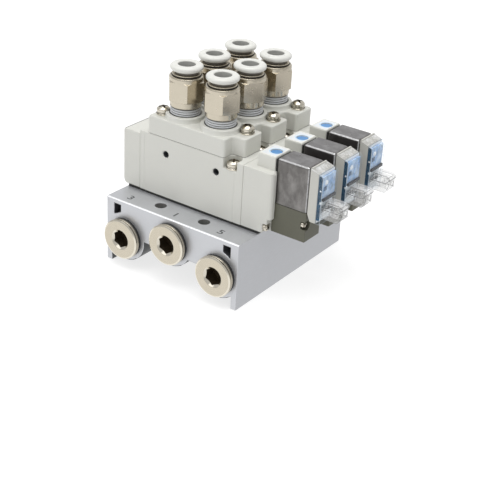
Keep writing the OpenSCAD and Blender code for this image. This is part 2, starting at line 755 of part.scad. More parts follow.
// Outline of a fitting's outside from its foot to its guide ring
module fitting_outline() {
    neck = ring_d / 2 - 0.5;
    polygon([
        [0, z_hex], [foot_d / 2 - 0.4, z_hex], [foot_d / 2, z_hex + 0.4], [foot_d / 2, z_flat],
        [hex_af / 2 + 0.1, z_flat], [hex_af / 2 + 1, z_flat + 0.5], [hex_af / 2 + 1, z_flat_top - 0.3],
        [shoulder_d / 2, z_flat_top], [shoulder_d / 2, z_shoulder - 0.7],
        [shoulder_d / 2 - 0.25, z_shoulder - 0.2], [shoulder_d / 2 - 0.75, z_shoulder], [neck, z_shoulder],
        [neck, z_shoulder + 0.2], [ring_d / 2, z_shoulder + 0.35], [ring_d / 2, z_ring - 0.2],
        [ring_d / 2 - 0.3, z_ring], [0, z_ring]
    ]);
}

// Push-in fitting: turned all over, with a hexagon cut into its middle
module fitting(turn) {
    neck = thread_d / 2 - 0.6;
    difference() {
        union() {
            rod_z(0, 0, z_boss - thread_in, z_boss - 1.2, port_d - 2 * fit_clear);
            rotate_extrude() polygon([
                [0, z_boss - 1.3], [port_d / 2 - fit_clear, z_boss - 1.3],
                [thread_d / 2, z_boss + 0.3], [thread_d / 2, z_hex - 0.6], [neck, z_hex - 0.3],
                [neck, z_hex + 0.1], [0, z_hex + 0.1]
            ]);
            difference() {
                rotate_extrude() fitting_outline();
                translate([0, 0, z_flat - eps]) difference() {
                    cylinder(r = hex_af, h = flat_len + 2 * eps);
                    translate([0, 0, -1]) rotate([0, 0, turn])
                        cylinder(d = hex_af / cos(30), h = flat_len + 2, $fn = 6);
                }
            }
        }
        rod_z(0, 0, z_tube - tube_deep, z_ring + eps, tube_d + 0.2);
        rod_z(0, 0, z_boss - thread_in - eps, z_tube - tube_deep + eps, tube_d - 1.8);
        rod_z(0, 0, z_ring - sleeve_len, z_ring + eps, sleeve_d + 2 * run_clear);
    }
}

// The two fittings of valve i
module fittings(i) {
    color([0.77, 0.72, 0.63])
        for (k = [0, 1]) translate([k == 0 ? port_xa : port_xb, 0, 0]) fitting(hex_turns[i - 1][k]);
}

// The release collar: a thin sleeve with a rounded head
module release_collar(x) {
    low = z_ring - sleeve_len + collar_travel + 0.4;
    color([0.93, 0.93, 0.92]) translate([x, 0, 0]) rotate_extrude() polygon([
        [collar_bore_d / 2, low], [sleeve_d / 2, low], [sleeve_d / 2, z_collar],
        [collar_d / 2 - 1.1, z_collar], [collar_d / 2 - 0.4, z_collar + 0.35],
        [collar_d / 2 - 0.05, z_collar + 0.9], [collar_d / 2, z_collar + 1.3],
        [collar_d / 2 - 0.2, z_tube - 0.5], [collar_d / 2 - 0.7, z_tube - 0.12],
        [collar_d / 2 - 1.3, z_tube], [collar_bore_d / 2 + 0.5, z_tube], [collar_bore_d / 2, z_tube - 0.4]
    ]);
}

// A pan-head screw with a washer under its head, its seat at z = 0
module screw(head, height, shank, length) {
    union() {
        translate([0, 0, -length]) cylinder(d = shank, h = length + 0.1);
        cylinder(d = head, h = height * 0.25);
        translate([0, 0, height * 0.25 - eps]) cylinder(d = head * 0.92, h = height * 0.4);
        translate([0, 0, height * 0.65 - 2 * eps])
            cylinder(d1 = head * 0.92, d2 = head * 0.6, h = height * 0.35);
    }
}

module block_screws() {
    color([0.75, 0.73, 0.68])
        for (i = [1:stations], s = [-1, 1])
            translate([block_mid + s * bscrew_dx, valve_y(i) + s * bscrew_y, z_slab])
                screw(head_d, head_t, shank_d, block_screw_len);
}

module valve_screws() {
    color([0.75, 0.73, 0.68])
        for (i = [1:stations], s = [-1, 1])
            translate([block_mid + s * vscrew_dx, valve_y(i) - s * vscrew_y, vscrew_seat])
                screw(head_d, head_t, shank_d, vscrew_len);
}

module pilot_screws() {
    color([0.75, 0.73, 0.68])
        for (i = [1:stations], s = [-1, 1]) {
            translate([small_seat_x, valve_y(i) - s * small_y, small_zs[max(s, 0)]])
                rotate([0, 90, 0]) screw(small_head_d, small_head_t, small_shank_d, small_seat_x - small_tip_x);
            translate([base_seat_x, valve_y(i) + s * base_screw_y, base_screw_z])
                rotate([0, 90, 0]) screw(base_head_d, small_head_t, small_shank_d, base_screw_len);
        }
}

module at(i) {
    translate([0, valve_y(i), 0]) children();
}

manifold();
port_plugs();
plug_seals();
gaskets();
at(1) valve_body();  // valve_body_1
at(2) valve_body();  // valve_body_2
at(3) valve_body();  // valve_body_3
at(1) end_cap();  // end_cap_1
at(2) end_cap();  // end_cap_2
at(3) end_cap();  // end_cap_3
at(1) port_block();  // port_block_1
at(2) port_block();  // port_block_2
at(3) port_block();  // port_block_3
at(1) spool();  // spool_1
at(2) spool();  // spool_2
at(3) spool();  // spool_3
at(1) pilot_adaptor();  // pilot_adaptor_1
at(2) pilot_adaptor();  // pilot_adaptor_2
at(3) pilot_adaptor();  // pilot_adaptor_3
at(1) override_button();  // override_button_1
at(2) override_button();  // override_button_2
at(3) override_button();  // override_button_3
pilot_gaskets();
at(1) coil_cover();  // coil_cover_1
at(2) coil_cover();  // coil_cover_2
at(3) coil_cover();  // coil_cover_3
at(1) coil();  // coil_1
at(2) coil();  // coil_2
at(3) coil();  // coil_3
at(1) armature();  // armature_1
at(2) armature();  // armature_2
at(3) armature();  // armature_3
at(1) pilot_base();  // pilot_base_1
at(2) pilot_base();  // pilot_base_2
at(3) pilot_base();  // pilot_base_3
at(1) connector_housing();  // connector_housing_1
at(2) connector_housing();  // connector_housing_2
at(3) connector_housing();  // connector_housing_3
at(1) clear_window();  // clear_window_1
at(2) clear_window();  // clear_window_2
at(3) clear_window();  // clear_window_3
at(1) lead_plug();  // lead_plug_1
at(2) lead_plug();  // lead_plug_2
at(3) lead_plug();  // lead_plug_3
at(1) fittings(1);  // fittings_1
at(2) fittings(2);  // fittings_2
at(3) fittings(3);  // fittings_3
at(1) release_collar(port_xa);  // release_collar_1a
at(1) release_collar(port_xb);  // release_collar_1b
at(2) release_collar(port_xa);  // release_collar_2a
at(2) release_collar(port_xb);  // release_collar_2b
at(3) release_collar(port_xa);  // release_collar_3a
at(3) release_collar(port_xb);  // release_collar_3b
block_screws();
valve_screws();
pilot_screws();
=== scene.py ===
"""Looks of a three-station solenoid valve manifold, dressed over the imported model.

Pieces are modelled in millimetres on a bench and handed over in metres, in the frame
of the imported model: X along the valves, Y along the bar, Z up from the bar's foot.
"""
from __future__ import annotations

import logging
import math
from dataclasses import dataclass
from enum import Enum
from typing import Callable, Sequence

import bpy
from mathutils import Matrix, Vector


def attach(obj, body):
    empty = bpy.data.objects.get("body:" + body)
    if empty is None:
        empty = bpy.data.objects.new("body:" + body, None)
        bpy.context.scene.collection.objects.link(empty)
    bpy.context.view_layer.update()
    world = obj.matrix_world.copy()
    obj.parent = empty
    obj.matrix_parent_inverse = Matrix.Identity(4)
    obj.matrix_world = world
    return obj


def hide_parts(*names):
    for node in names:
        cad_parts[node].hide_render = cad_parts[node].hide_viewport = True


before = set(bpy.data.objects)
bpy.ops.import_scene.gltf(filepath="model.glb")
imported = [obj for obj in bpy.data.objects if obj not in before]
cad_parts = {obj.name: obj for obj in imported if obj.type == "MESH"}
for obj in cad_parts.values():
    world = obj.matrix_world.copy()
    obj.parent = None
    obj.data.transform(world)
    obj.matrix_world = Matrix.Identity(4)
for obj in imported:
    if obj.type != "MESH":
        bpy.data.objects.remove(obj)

LOG = logging.getLogger("manifold")
# One millimetre, in metres.
MM = 0.001
# The body that doesn't move.
FIXED = "valve_assembly"
# Least cosine to an axis for an edge or a face's normal to count as along it.
ALONG = 0.9
# Places of the sockets of a node that mixes two colours.
MIX_FACTOR, MIX_LOW, MIX_HIGH, MIX_RESULT = 0, 6, 7, 2
Point = Sequence[float]
Profile = Sequence[tuple[float, float]]
Test = Callable[[Vector, Vector], bool]
STATIONS = (1, 2, 3)
PITCH = 16.0


def station_y(station: int) -> float:
    """Middle of a station along the bar, in millimetres."""
    return (station - 2) * PITCH


def off_axis(point: Vector) -> float:
    """Distance of a point from the Z axis."""
    return math.hypot(point.x, point.y)


def heading(azimuth: float, elevation: float) -> Vector:
    """Direction of an azimuth and an elevation.

    Args:
        azimuth: Turn from +X toward +Y, in degrees.
        elevation: Angle above the floor, in degrees.

    Returns:
        The direction, one long.
    """
    turn, lift = math.radians(azimuth), math.radians(elevation)
    flat = math.cos(lift)
    return Vector((math.cos(turn) * flat, math.sin(turn) * flat, math.sin(lift)))


class Pick(Enum):
    """What a selection in edit mode is made of."""

    FACES = "FACE"
    EDGES = "EDGE"
    POINTS = "VERT"


class Cut(Enum):
    """How two solids are combined."""

    TAKE_AWAY = "DIFFERENCE"
    JOIN = "UNION"


class Axis(Enum):
    """The way that a turned piece's own Z points once it is placed."""

    UP = (0.0, 0.0, 0.0)
    FRONT = (math.pi / 2, 0.0, 0.0)
    RIGHT = (0.0, math.pi / 2, 0.0)


class Workpiece:
    """One mesh on the bench, shaped with Blender's own operators, in millimetres."""

    def __init__(self, obj: bpy.types.Object, name: str) -> None:
        """Take an object onto the bench.

        Args:
            obj: The mesh object.
            name: The piece's name.
        """
        self.obj = obj
        obj.name = name
        obj.data.name = name

    @classmethod
    def block(cls, name: str, low: Point, high: Point) -> "Workpiece":
        """Start from a box between two corners.

        Args:
            name: The piece's name.
            low: Lowest corner.
            high: Highest corner.

        Returns:
            The new workpiece.
        """
        clear_selection()
        bpy.ops.mesh.primitive_cube_add(size=1.0)
        piece = cls(bpy.context.object, name)
        piece.obj.scale = [b - a for a, b in zip(low, high)]
        piece.obj.location = [(a + b) / 2 for a, b in zip(low, high)]
        return piece.settle()

    @classmethod
    def rod(cls, name: str, radius: float, low: float, high: float,
            sides: int = 48) -> "Workpiece":
        """Start from an upright prism or cylinder.

        Args:
            name: The piece's name.
            radius: Radius over the corners.
            low: Height of its foot.
            high: Height of its top.
            sides: Number of sides.

        Returns:
            The new workpiece.
        """
        clear_selection()
        bpy.ops.mesh.primitive_cylinder_add(vertices=sides, radius=radius, depth=high - low)
        piece = cls(bpy.context.object, name)
        piece.obj.location = (0, 0, (low + high) / 2)
        return piece.settle()

    @classmethod
    def turned(cls, name: str, profile: Profile, steps: int = 72) -> "Workpiece":
        """Turn a closed profile once round the Z axis.

        Args:
            name: The piece's name.
            profile: Points (radius, height) of the closed outline.
            steps: Number of steps round the axis.

        Returns:
            The new workpiece.
        """
        clear_selection()
        bpy.ops.mesh.primitive_circle_add(vertices=len(profile), radius=1.0, fill_type="NOTHING")
        piece = cls(bpy.context.object, name)
        for point, (radius, height) in zip(piece.obj.data.vertices, profile):
            point.co = (radius, 0.0, height)
        piece.enter()
        bpy.ops.mesh.select_all(action="SELECT")
        bpy.ops.mesh.spin(steps=steps, angle=2 * math.pi, center=(0, 0, 0), axis=(0, 0, 1))
        return piece.clean()

    @classmethod
    def copy_of(cls, node: str, name: str) -> "Workpiece":
        """Start from a merged copy of a CAD node, its flat faces made whole.

        Args:
            node: The node's name.
            name: The piece's name.

        Returns:
            The new workpiece.
        """
        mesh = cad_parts[node].data.copy()
        mesh.materials.clear()
        obj = bpy.data.objects.new(name, mesh)
        bpy.context.scene.collection.objects.link(obj)
        piece = cls(obj, name)
        obj.scale = (1 / MM,) * 3
        piece.settle()
        if mesh.has_custom_normals:
            bpy.ops.mesh.customdata_custom_splitnormals_clear()
        return piece.flatten()

    def activate(self) -> None:
        """Make this the only selected object, and the active one."""
        clear_selection()
        self.obj.select_set(True)
        bpy.context.view_layer.objects.active = self.obj

    def enter(self) -> None:
        """Go into edit mode on this piece."""
        if self.obj.mode != "EDIT":
            self.activate()
            bpy.ops.object.mode_set(mode="EDIT")

    def leave(self) -> None:
        """Go back to object mode."""
        if self.obj.mode == "EDIT":
            bpy.ops.object.mode_set(mode="OBJECT")

    def clean(self) -> "Workpiece":
        """Merge doubles, close poles and turn all faces outward.

        Returns:
            The workpiece.
        """
        self.enter()
        bpy.ops.mesh.select_all(action="SELECT")
        bpy.ops.mesh.remove_doubles(threshold=0.0005)
        bpy.ops.mesh.dissolve_degenerate(threshold=0.0005)
        bpy.ops.mesh.select_all(action="SELECT")
        bpy.ops.mesh.normals_make_consistent(inside=False)
        self.leave()
        return self

    def flatten(self) -> "Workpiece":
        """Merge doubles and make flat faces whole again.

        Returns:
            The workpiece.
        """
        self.enter()
        bpy.ops.mesh.select_all(action="SELECT")
        bpy.ops.mesh.remove_doubles(threshold=0.001)
        bpy.ops.mesh.dissolve_limited(angle_limit=math.radians(0.6))
        self.leave()
        return self

    def settle(self) -> "Workpiece":
        """Put the object's own place, turn and scale into its mesh.

        Returns:
            The workpiece.
        """
        self.leave()
        self.activate()
        bpy.ops.object.transform_apply(location=True, rotation=True, scale=True)
        return self

    def pick(self, kind: Pick, test: Test) -> "Workpiece":
        """Select what passes a test, and stay in edit mode.

        Args:
            kind: Faces, edges or points.
            test: Takes the middle and the normal (an edge's direction), in millimetres.

        Returns:
            The workpiece.
        """
        self.enter()
        bpy.ops.mesh.select_mode(type=kind.value)
        bpy.ops.mesh.select_all(action="DESELECT")
        self.leave()
        mesh = self.obj.data
        points = mesh.vertices
        if kind is Pick.FACES:
            for face in mesh.polygons:
                face.select = test(face.center, face.normal)
        elif kind is Pick.EDGES:
            for edge in mesh.edges:
                start, end = (points[i].co for i in edge.vertices)
                edge.select = test((start + end) / 2, (end - start).normalized())
        else:
            for point in points:
                point.select = test(point.co, point.normal)
        self.enter()
        return self

    def bevel(self, width: float, steps: int = 3) -> "Workpiece":
        """Round the selected edges.

        Args:
            width: Width of the rounding.
            steps: Number of faces across it.

        Returns:
            The workpiece.
        """
        bpy.ops.mesh.bevel(offset=width, segments=steps, affect="EDGES", clamp_overlap=False)
        self.leave()
        return self

    def inset(self, width: float, depth: float = 0.0) -> "Workpiece":
        """Inset the selected faces and move them along their normals.

        Args:
            width: Width of the border that is left.
            depth: How far the faces move.

        Returns:
            The workpiece, still in edit mode.
        """
        bpy.ops.mesh.inset(thickness=width, depth=0.0)
        if depth:
            bpy.ops.mesh.inset(thickness=0.02, depth=depth)
        return self

    def apply(self, kind: str, **settings: object) -> "Workpiece":
        """Add a modifier and apply it.

        Args:
            kind: The modifier's type.
            **settings: Its settings.

        Returns:
            The workpiece.
        """
        self.leave()
        self.activate()
        modifier = self.obj.modifiers.new(kind.lower(), kind)
        for key, value in settings.items():
            setattr(modifier, key, value)
        bpy.ops.object.modifier_apply(modifier=modifier.name)
        return self

    def ease(self, width: float, steps: int = 2, angle: float = 40.0,
             finish: int = -1) -> "Workpiece":
        """Round every edge that is sharper than an angle.

        Args:
            width: Width of the rounding.
            steps: Number of faces across it.
            angle: Smallest angle between two faces, in degrees.
            finish: Place of the rounding's finish among the piece's own, or -1 for the
                neighbouring faces' finish.

        Returns:
            The workpiece.
        """
        return self.apply("BEVEL", width=width, segments=steps, limit_method="ANGLE",
                          angle_limit=math.radians(angle), use_clamp_overlap=False,
                          miter_outer="MITER_SHARP", material=finish)

    def combine(self, tool: "Workpiece", how: Cut) -> "Workpiece":
        """Combine with another workpiece, which is used up.

        Args:
            tool: The other workpiece.
            how: Taken away or joined.

        Returns:
            The workpiece.
        """
        self.apply("BOOLEAN", object=tool.obj, operation=how.value, solver="EXACT")
        tool.scrap()
        return self

    def copy(self, name: str, place: Point = (0, 0, 0), axis: Axis = Axis.UP,
             spin: float = 0.0) -> "Workpiece":
        """Make a placed copy with its own mesh.

        Args:
            name: The copy's name.
            place: Where the copy's origin goes.
            axis: Where its own Z points.
            spin: Turn about its own Z before that, in degrees.

        Returns:
            The copy.
        """
        self.leave()
        obj = self.obj.copy()
        obj.data = self.obj.data.copy()
        bpy.context.scene.collection.objects.link(obj)
        twin = Workpiece(obj, name)
        turn = Matrix.Rotation(math.radians(spin), 4, "Z")
        tilt = Matrix.Rotation(axis.value[0], 4, "X") @ Matrix.Rotation(axis.value[1], 4, "Y")
        obj.matrix_world = Matrix.Translation(place) @ tilt @ turn
        return twin.settle()

    def scrap(self) -> None:
        """Throw the workpiece away."""
        mesh = self.obj.data
        bpy.data.objects.remove(self.obj)
        bpy.data.meshes.remove(mesh)

    def smooth(self, angle: float = 40.0, even: bool = True) -> "Workpiece":
        """Shade smooth up to an angle, with flat faces kept flat.

        Args:
            angle: Largest angle that is shaded smooth, in degrees.
            even: Whether normals are weighted by face area.

        Returns:
            The workpiece.
        """
        self.leave()
        self.activate()
        bpy.ops.object.shade_smooth_by_angle(angle=math.radians(angle))
        if even:
            self.apply("WEIGHTED_NORMAL", keep_sharp=True, weight=80)
        return self

    def paint(self, finish: "Finish") -> "Workpiece":
        """Give the whole piece one finish.

        Args:
            finish: The finish.

        Returns:
            The workpiece.
        """
        self.obj.data.materials.clear()
        self.obj.data.materials.append(finish.material())
        return self

    def paint_faces(self, finish: "Finish", test: Test) -> "Workpiece":
        """Give the faces that pass a test a further finish.

        Args:
            finish: The finish.
            test: Takes a face's middle and normal, in millimetres.

        Returns:
            The workpiece.
        """
        self.leave()
        self.obj.data.materials.append(finish.material())
        index = len(self.obj.data.materials) - 1
        for face in self.obj.data.polygons:
            if test(face.center, face.normal):
                face.material_index = index
        return self

    def deliver(self, body: str, slot: str, *nodes: str) -> bpy.types.Object:
        """Hand the piece over to the frame, in metres.

        Args:
            body: The body that it rides on.
            slot: The record's material slot; not used.
            *nodes: CAD nodes that it stands for.

        Returns:
            The finished object.
        """
        self.obj.scale = (MM,) * 3
        self.settle()
        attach(self.obj, body)
        if nodes:
            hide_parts(*nodes)
        LOG.info("%s: %d faces on %s", self.obj.name, len(self.obj.data.polygons), body)
        return self.obj


def clear_selection() -> None:
    """Deselect everything, out of edit mode."""
    active = bpy.context.view_layer.objects.active
    if active and active.mode == "EDIT":
        bpy.ops.object.mode_set(mode="OBJECT")
    for obj in list(bpy.context.selected_objects):
        obj.select_set(False)


class NodeSheet:
    """The node sheet of one material, with short ways to add and join nodes."""

    def __init__(self, name: str) -> None:
        """Start a material with a Principled shader.

        Args:
            name: The material's name.
        """
        self.material = bpy.data.materials.new(name)
        self.material.use_nodes = True
        self.tree = self.material.node_tree
        self.tree.nodes.clear()
        self.shader = self.add("ShaderNodeBsdfPrincipled")
        output = self.add("ShaderNodeOutputMaterial")
        self.join(self.shader.outputs["BSDF"], output.inputs["Surface"])
        self.place = self.add("ShaderNodeTexCoord").outputs["Object"]

    def add(self, kind: str, **settings: object) -> bpy.types.Node:
        """Add a node.

        Args:
            kind: The node's type.
            **settings: Its settings.

        Returns:
            The node.
        """
        node = self.tree.nodes.new(kind)
        for key, value in settings.items():
            setattr(node, key, value)
        return node

    def join(self, start: bpy.types.NodeSocket, end: bpy.types.NodeSocket) -> None:
        """Link two sockets."""
        self.tree.links.new(start, end)

    def set(self, **values: object) -> None:
        """Set the shader's own sockets; an underscore stands for a space."""
        for key, value in values.items():
            self.shader.inputs[key.replace("_", " ")].default_value = value

    def noise(self, grain: float, stretch: Point = (1, 1, 1), detail: float = 3.0,
              rough: float = 0.55) -> bpy.types.NodeSocket:
        """Noise with a grain of so many millimetres.

        Args:
            grain: Size of a spot.
            stretch: How much longer the spots are along X, Y and Z.
            detail: Octaves.
            rough: Share of the finer octaves.

        Returns:
            The factor's socket.
        """
        mapping = self.add("ShaderNodeMapping")
        mapping.inputs["Scale"].default_value = [1 / (grain * MM * part) for part in stretch]
        self.join(self.place, mapping.inputs["Vector"])
        node = self.add("ShaderNodeTexNoise")
        node.inputs["Scale"].default_value = 1.0
        node.inputs["Detail"].default_value = detail
        node.inputs["Roughness"].default_value = rough
        self.join(mapping.outputs["Vector"], node.inputs["Vector"])
        return node.outputs["Fac"]

    def spread(self, factor: bpy.types.NodeSocket, low: float, high: float,
               start: float = 0.3, end: float = 0.7) -> bpy.types.NodeSocket:
        """Map a factor's range to two values.

        Args:
            factor: The factor.
            low: Value at the start.
            high: Value at the end.
            start: The factor that gives low.
            end: The factor that gives high.

        Returns:
            The result's socket.
        """
        node = self.add("ShaderNodeMapRange")
        for key, value in (("From Min", start), ("From Max", end),
                           ("To Min", low), ("To Max", high)):
            node.inputs[key].default_value = value
        self.join(factor, node.inputs["Value"])
        return node.outputs["Result"]

    def shades(self, factor: bpy.types.NodeSocket, dark: Point,
               light: Point) -> bpy.types.NodeSocket:
        """Blend two colours by a factor.

        Args:
            factor: The factor.
            dark: Colour at 0.
            light: Colour at 1.

        Returns:
            The colour's socket.
        """
        node = self.add("ShaderNodeMix", data_type="RGBA")
        node.inputs[MIX_LOW].default_value = (*dark, 1.0)
        node.inputs[MIX_HIGH].default_value = (*light, 1.0)
        self.join(factor, node.inputs[MIX_FACTOR])
        return node.outputs[MIX_RESULT]

    def bump(self, height: bpy.types.NodeSocket, depth: float, strength: float = 1.0) -> None:
        """Raise and sink the surface by a height.

        Args:
            height: The height's socket.
            depth: Depth of the relief, in millimetres.
            strength: Share of it that shows.
        """
        node = self.add("ShaderNodeBump")
        node.inputs["Distance"].default_value = depth * MM
        node.inputs["Strength"].default_value = strength
        if self.shader.inputs["Normal"].links:
            self.join(self.shader.inputs["Normal"].links[0].from_socket, node.inputs["Normal"])
        self.join(height, node.inputs["Height"])
        self.join(node.outputs["Normal"], self.shader.inputs["Normal"])


def tone(colour: Point, factor: float) -> tuple[float, ...]:
    """A colour made lighter or darker by a factor."""
    return tuple(min(1.0, part * factor) for part in colour)


@dataclass(frozen=True)
class Finish:
    """A surface finish: an even colour with clouds, grain and a slightly uneven gloss."""

    name: str
    colour: tuple[float, float, float]
    rough: float = 0.45
    metal: float = 0.0
    cloud: float = 0.04
    cloud_grain: float = 5.0
    stretch: tuple[float, float, float] = (1.0, 1.0, 1.0)
    speck: float = 0.02
    speck_grain: float = 0.3
    relief: float = 0.004
    gloss_play: float = 0.06

    def sheet(self) -> NodeSheet:
        """Build the common part of the finish.

        Returns:
            The node sheet.
        """
        sheet = NodeSheet(self.name)
        sheet.set(Metallic=self.metal)
        clouds = sheet.noise(self.cloud_grain, self.stretch)
        specks = sheet.noise(self.speck_grain, self.stretch, detail=2.0)
        base = sheet.shades(sheet.spread(clouds, 0.0, 1.0), tone(self.colour, 1 - self.cloud),
                            tone(self.colour, 1 + self.cloud))
        fleck = sheet.add("ShaderNodeMix", data_type="RGBA", blend_type="MULTIPLY")
        fleck.inputs[MIX_FACTOR].default_value = 1.0
        sheet.join(base, fleck.inputs[MIX_LOW])
        sheet.join(sheet.shades(sheet.spread(specks, 0.0, 1.0), (1 - self.speck,) * 3, (1.0,) * 3),
                   fleck.inputs[MIX_HIGH])
        sheet.join(fleck.outputs[MIX_RESULT], sheet.shader.inputs["Base Color"])
        dull, play = self.rough, self.gloss_play
        sheet.join(sheet.spread(clouds, dull - play, dull + play), sheet.shader.inputs["Roughness"])
        sheet.bump(specks, self.relief)
        return sheet

    def build(self) -> bpy.types.Material:
        """Build the material."""
        return self.sheet().material

    def material(self) -> bpy.types.Material:
        """The finish's material, built at its first use."""
        return bpy.data.materials.get(self.name) or self.build()


@dataclass(frozen=True)
class PlatedFinish(Finish):
    """Bright nickel over brass: warm, with faint tool marks round the turned faces."""

    metal: float = 1.0
    mark_pitch: float = 0.12
    marks: float = 0.0015

    def build(self) -> bpy.types.Material:
        """Build the material.

        Returns:
            The material.
        """
        sheet = self.sheet()
        marks = sheet.noise(self.mark_pitch, (8.0, 8.0, 0.6), detail=1.0)
        sheet.bump(marks, self.marks)
        return sheet.material


@dataclass(frozen=True)
class WornFinish(Finish):
    """Drawn sheet metal: soft upright bands, scratches and paler rubbed spots."""

    rubbed: tuple[float, float, float] = (0.3, 0.29, 0.28)

    def build(self) -> bpy.types.Material:
        """Build the material.

        Returns:
            The material.
        """
        sheet = self.sheet()
        scratches = sheet.noise(0.5, (0.25, 0.25, 9.0), detail=4.0, rough=0.7)
        spots = sheet.noise(3.4, (1.0, 1.0, 1.6), detail=5.0, rough=0.62)
        mix = sheet.add("ShaderNodeMix", data_type="RGBA")
        sheet.join(sheet.spread(spots, 0.0, 0.85, 0.42, 0.72), mix.inputs[MIX_FACTOR])
        base = sheet.shader.inputs["Base Color"].links[0].from_socket
        sheet.join(base, mix.inputs[MIX_LOW])
        mix.inputs[MIX_HIGH].default_value = (*self.rubbed, 1.0)
        sheet.join(mix.outputs[MIX_RESULT], sheet.shader.inputs["Base Color"])
        sheet.bump(scratches, 0.004)
        return sheet.material


@dataclass(frozen=True)
class ClearFinish(Finish):
    """Clear moulded plastic with faint flow marks."""

    clear: float = 1.0
    index: float = 1.47
    coat: float = 0.3
    alpha: float = 1.0

    def build(self) -> bpy.types.Material:
        """Build the material.

        Returns:
            The material.
        """
        sheet = NodeSheet(self.name)
        sheet.set(Transmission_Weight=self.clear, IOR=self.index, Metallic=0.0,
                  Coat_Weight=self.coat, Alpha=self.alpha)
        clouds = sheet.noise(self.cloud_grain, self.stretch)
        sheet.join(sheet.shades(sheet.spread(clouds, 0.0, 1.0), tone(self.colour, 1 - self.cloud),
                                tone(self.colour, 1 + self.cloud)),
                   sheet.shader.inputs["Base Color"])
        sheet.join(sheet.spread(clouds, max(0.0, self.rough - self.gloss_play),
                                self.rough + self.gloss_play), sheet.shader.inputs["Roughness"])
        sheet.bump(clouds, self.relief)
        return sheet.material


@dataclass(frozen=True)
class WoundFinish(Finish):
    """Enamelled wire wound in even turns."""

    turn: float = 0.35

    def build(self) -> bpy.types.Material:
        """Build the material.

        Returns:
            The material.
        """
        sheet = self.sheet()
        wave = sheet.add("ShaderNodeTexWave", wave_type="BANDS", bands_direction="X")
        wave.inputs["Scale"].default_value = 1 / (self.turn * MM * 6.28)
        sheet.join(sheet.place, wave.inputs["Vector"])
        sheet.bump(wave.outputs["Fac"], 0.08)
        return sheet.material


ANODISED = Finish("anodised aluminium", (0.60, 0.61, 0.635), rough=0.40, metal=0.72, cloud=0.025,
                  cloud_grain=7.0, stretch=(1.0, 14.0, 1.0), speck=0.05, speck_grain=0.22,
                  relief=0.006, gloss_play=0.05)
NICKEL = PlatedFinish("nickel on brass", (0.565, 0.515, 0.42), rough=0.25, cloud=0.03,
                      cloud_grain=2.5, speck=0.01, speck_grain=0.4, relief=0.0006,
                      gloss_play=0.03, marks=0.0006)
FROSTED = WornFinish("frosted moulding", (0.47, 0.465, 0.44), rough=0.26, cloud=0.16,
                     cloud_grain=0.7, speck=0.10, speck_grain=0.4, relief=0.01,
                     rubbed=(0.80, 0.81, 0.82))
# Polished nickel for the plugs' chamfers: its lower roughness is real polish, its lighter colour a
# painted highlight.
PLUG_CHAMFER_HIGHLIGHT = PlatedFinish("polished nickel with painted highlight", (0.70, 0.655, 0.56), rough=0.16, cloud=0.03,
                           cloud_grain=2.5, relief=0.001, gloss_play=0.04)
SCREW_NICKEL = PlatedFinish("nickel on steel", (0.62, 0.58, 0.495), rough=0.14, cloud=0.04,
                            cloud_grain=1.2, speck=0.03, speck_grain=0.25, relief=0.001,
                            gloss_play=0.05, marks=0.001)
CAST_PAINT = Finish("painted die casting", (0.66, 0.66, 0.615), rough=0.42, cloud=0.015,
                    cloud_grain=9.0, speck=0.02, speck_grain=0.35, relief=0.007)
OFF_WHITE = Finish("off-white moulding", (0.565, 0.56, 0.52), rough=0.36, cloud=0.02,
                   speck_grain=0.2, relief=0.003)
COLLAR_WHITE = Finish("collar moulding", (0.72, 0.72, 0.68), rough=0.32, cloud=0.02,
                      cloud_grain=2.0, speck=0.015, speck_grain=0.2, relief=0.003)
OLIVE = Finish("olive moulding", (0.118, 0.117, 0.085), rough=0.5, cloud=0.05, speck=0.06,
               speck_grain=0.18, relief=0.008)
COVER_METAL = WornFinish("drawn steel cover", (0.155, 0.148, 0.142), rough=0.34, metal=0.75,
                         cloud=0.12, cloud_grain=2.6, stretch=(1.0, 1.0, 5.0), speck=0.10,
                         speck_grain=0.22, relief=0.004, gloss_play=0.08)
RUBBER = Finish("black rubber", (0.018, 0.018, 0.017), rough=0.6, cloud=0.15, speck=0.2,
                speck_grain=0.2, relief=0.01)
SEALANT = Finish("thread sealant", (0.62, 0.635, 0.65), rough=0.5, cloud=0.05, cloud_grain=1.5,
                 speck=0.06, speck_grain=0.25, relief=0.015)
BUTTON_BLUE = Finish("blue moulding", (0.095, 0.27, 0.56), rough=0.38, cloud=0.08, cloud_grain=1.0,
                     speck_grain=0.15)
LABEL_WHITE = Finish("label film", (0.80, 0.80, 0.75), rough=0.4, cloud=0.01, speck=0.01)
LABEL_FIELD = Finish("label field", (0.76, 0.79, 0.82), rough=0.4, cloud=0.03, cloud_grain=1.5)
LABEL_BLUE = Finish("label print", (0.58, 0.74, 0.88), rough=0.4, cloud=0.10, cloud_grain=0.8)
INK = Finish("printed marks", (0.075, 0.08, 0.085), rough=0.55, cloud=0.15, cloud_grain=0.6,
             speck=0.25, speck_grain=0.12)
STRIP_BLUE = Finish("indicator board", (0.004, 0.054, 0.112), rough=0.3, cloud=0.25,
                    cloud_grain=1.6, speck=0.1)
BOARD_BLUE = WornFinish("light guide", (0.27, 0.43, 0.68), rough=0.35, cloud=0.38, cloud_grain=1.6,
                        speck=0.22, speck_grain=0.5, rubbed=(0.80, 0.88, 0.96))
# Dark finish for a bar that stands in for the shadow in the gap between the clear front and the
# plug: painted shade.
GAP_SHADOW_BAR = Finish("dark bar of painted gap shadow", (0.075, 0.075, 0.08), rough=0.4, cloud=0.1)
CHIP_BLUE = Finish("blue chip", (0.11, 0.17, 0.26), rough=0.3, cloud=0.3, cloud_grain=0.7)
LAMP_WHITE = Finish("lamp", (0.85, 0.88, 0.9), rough=0.25, cloud=0.02)
CLEAR_BLUE = ClearFinish("clear blue plastic", (0.92, 0.96, 1.0), rough=0.05, cloud=0.02,
                         relief=0.004, gloss_play=0.03, clear=0.93, index=1.02,
                         alpha=0.6)
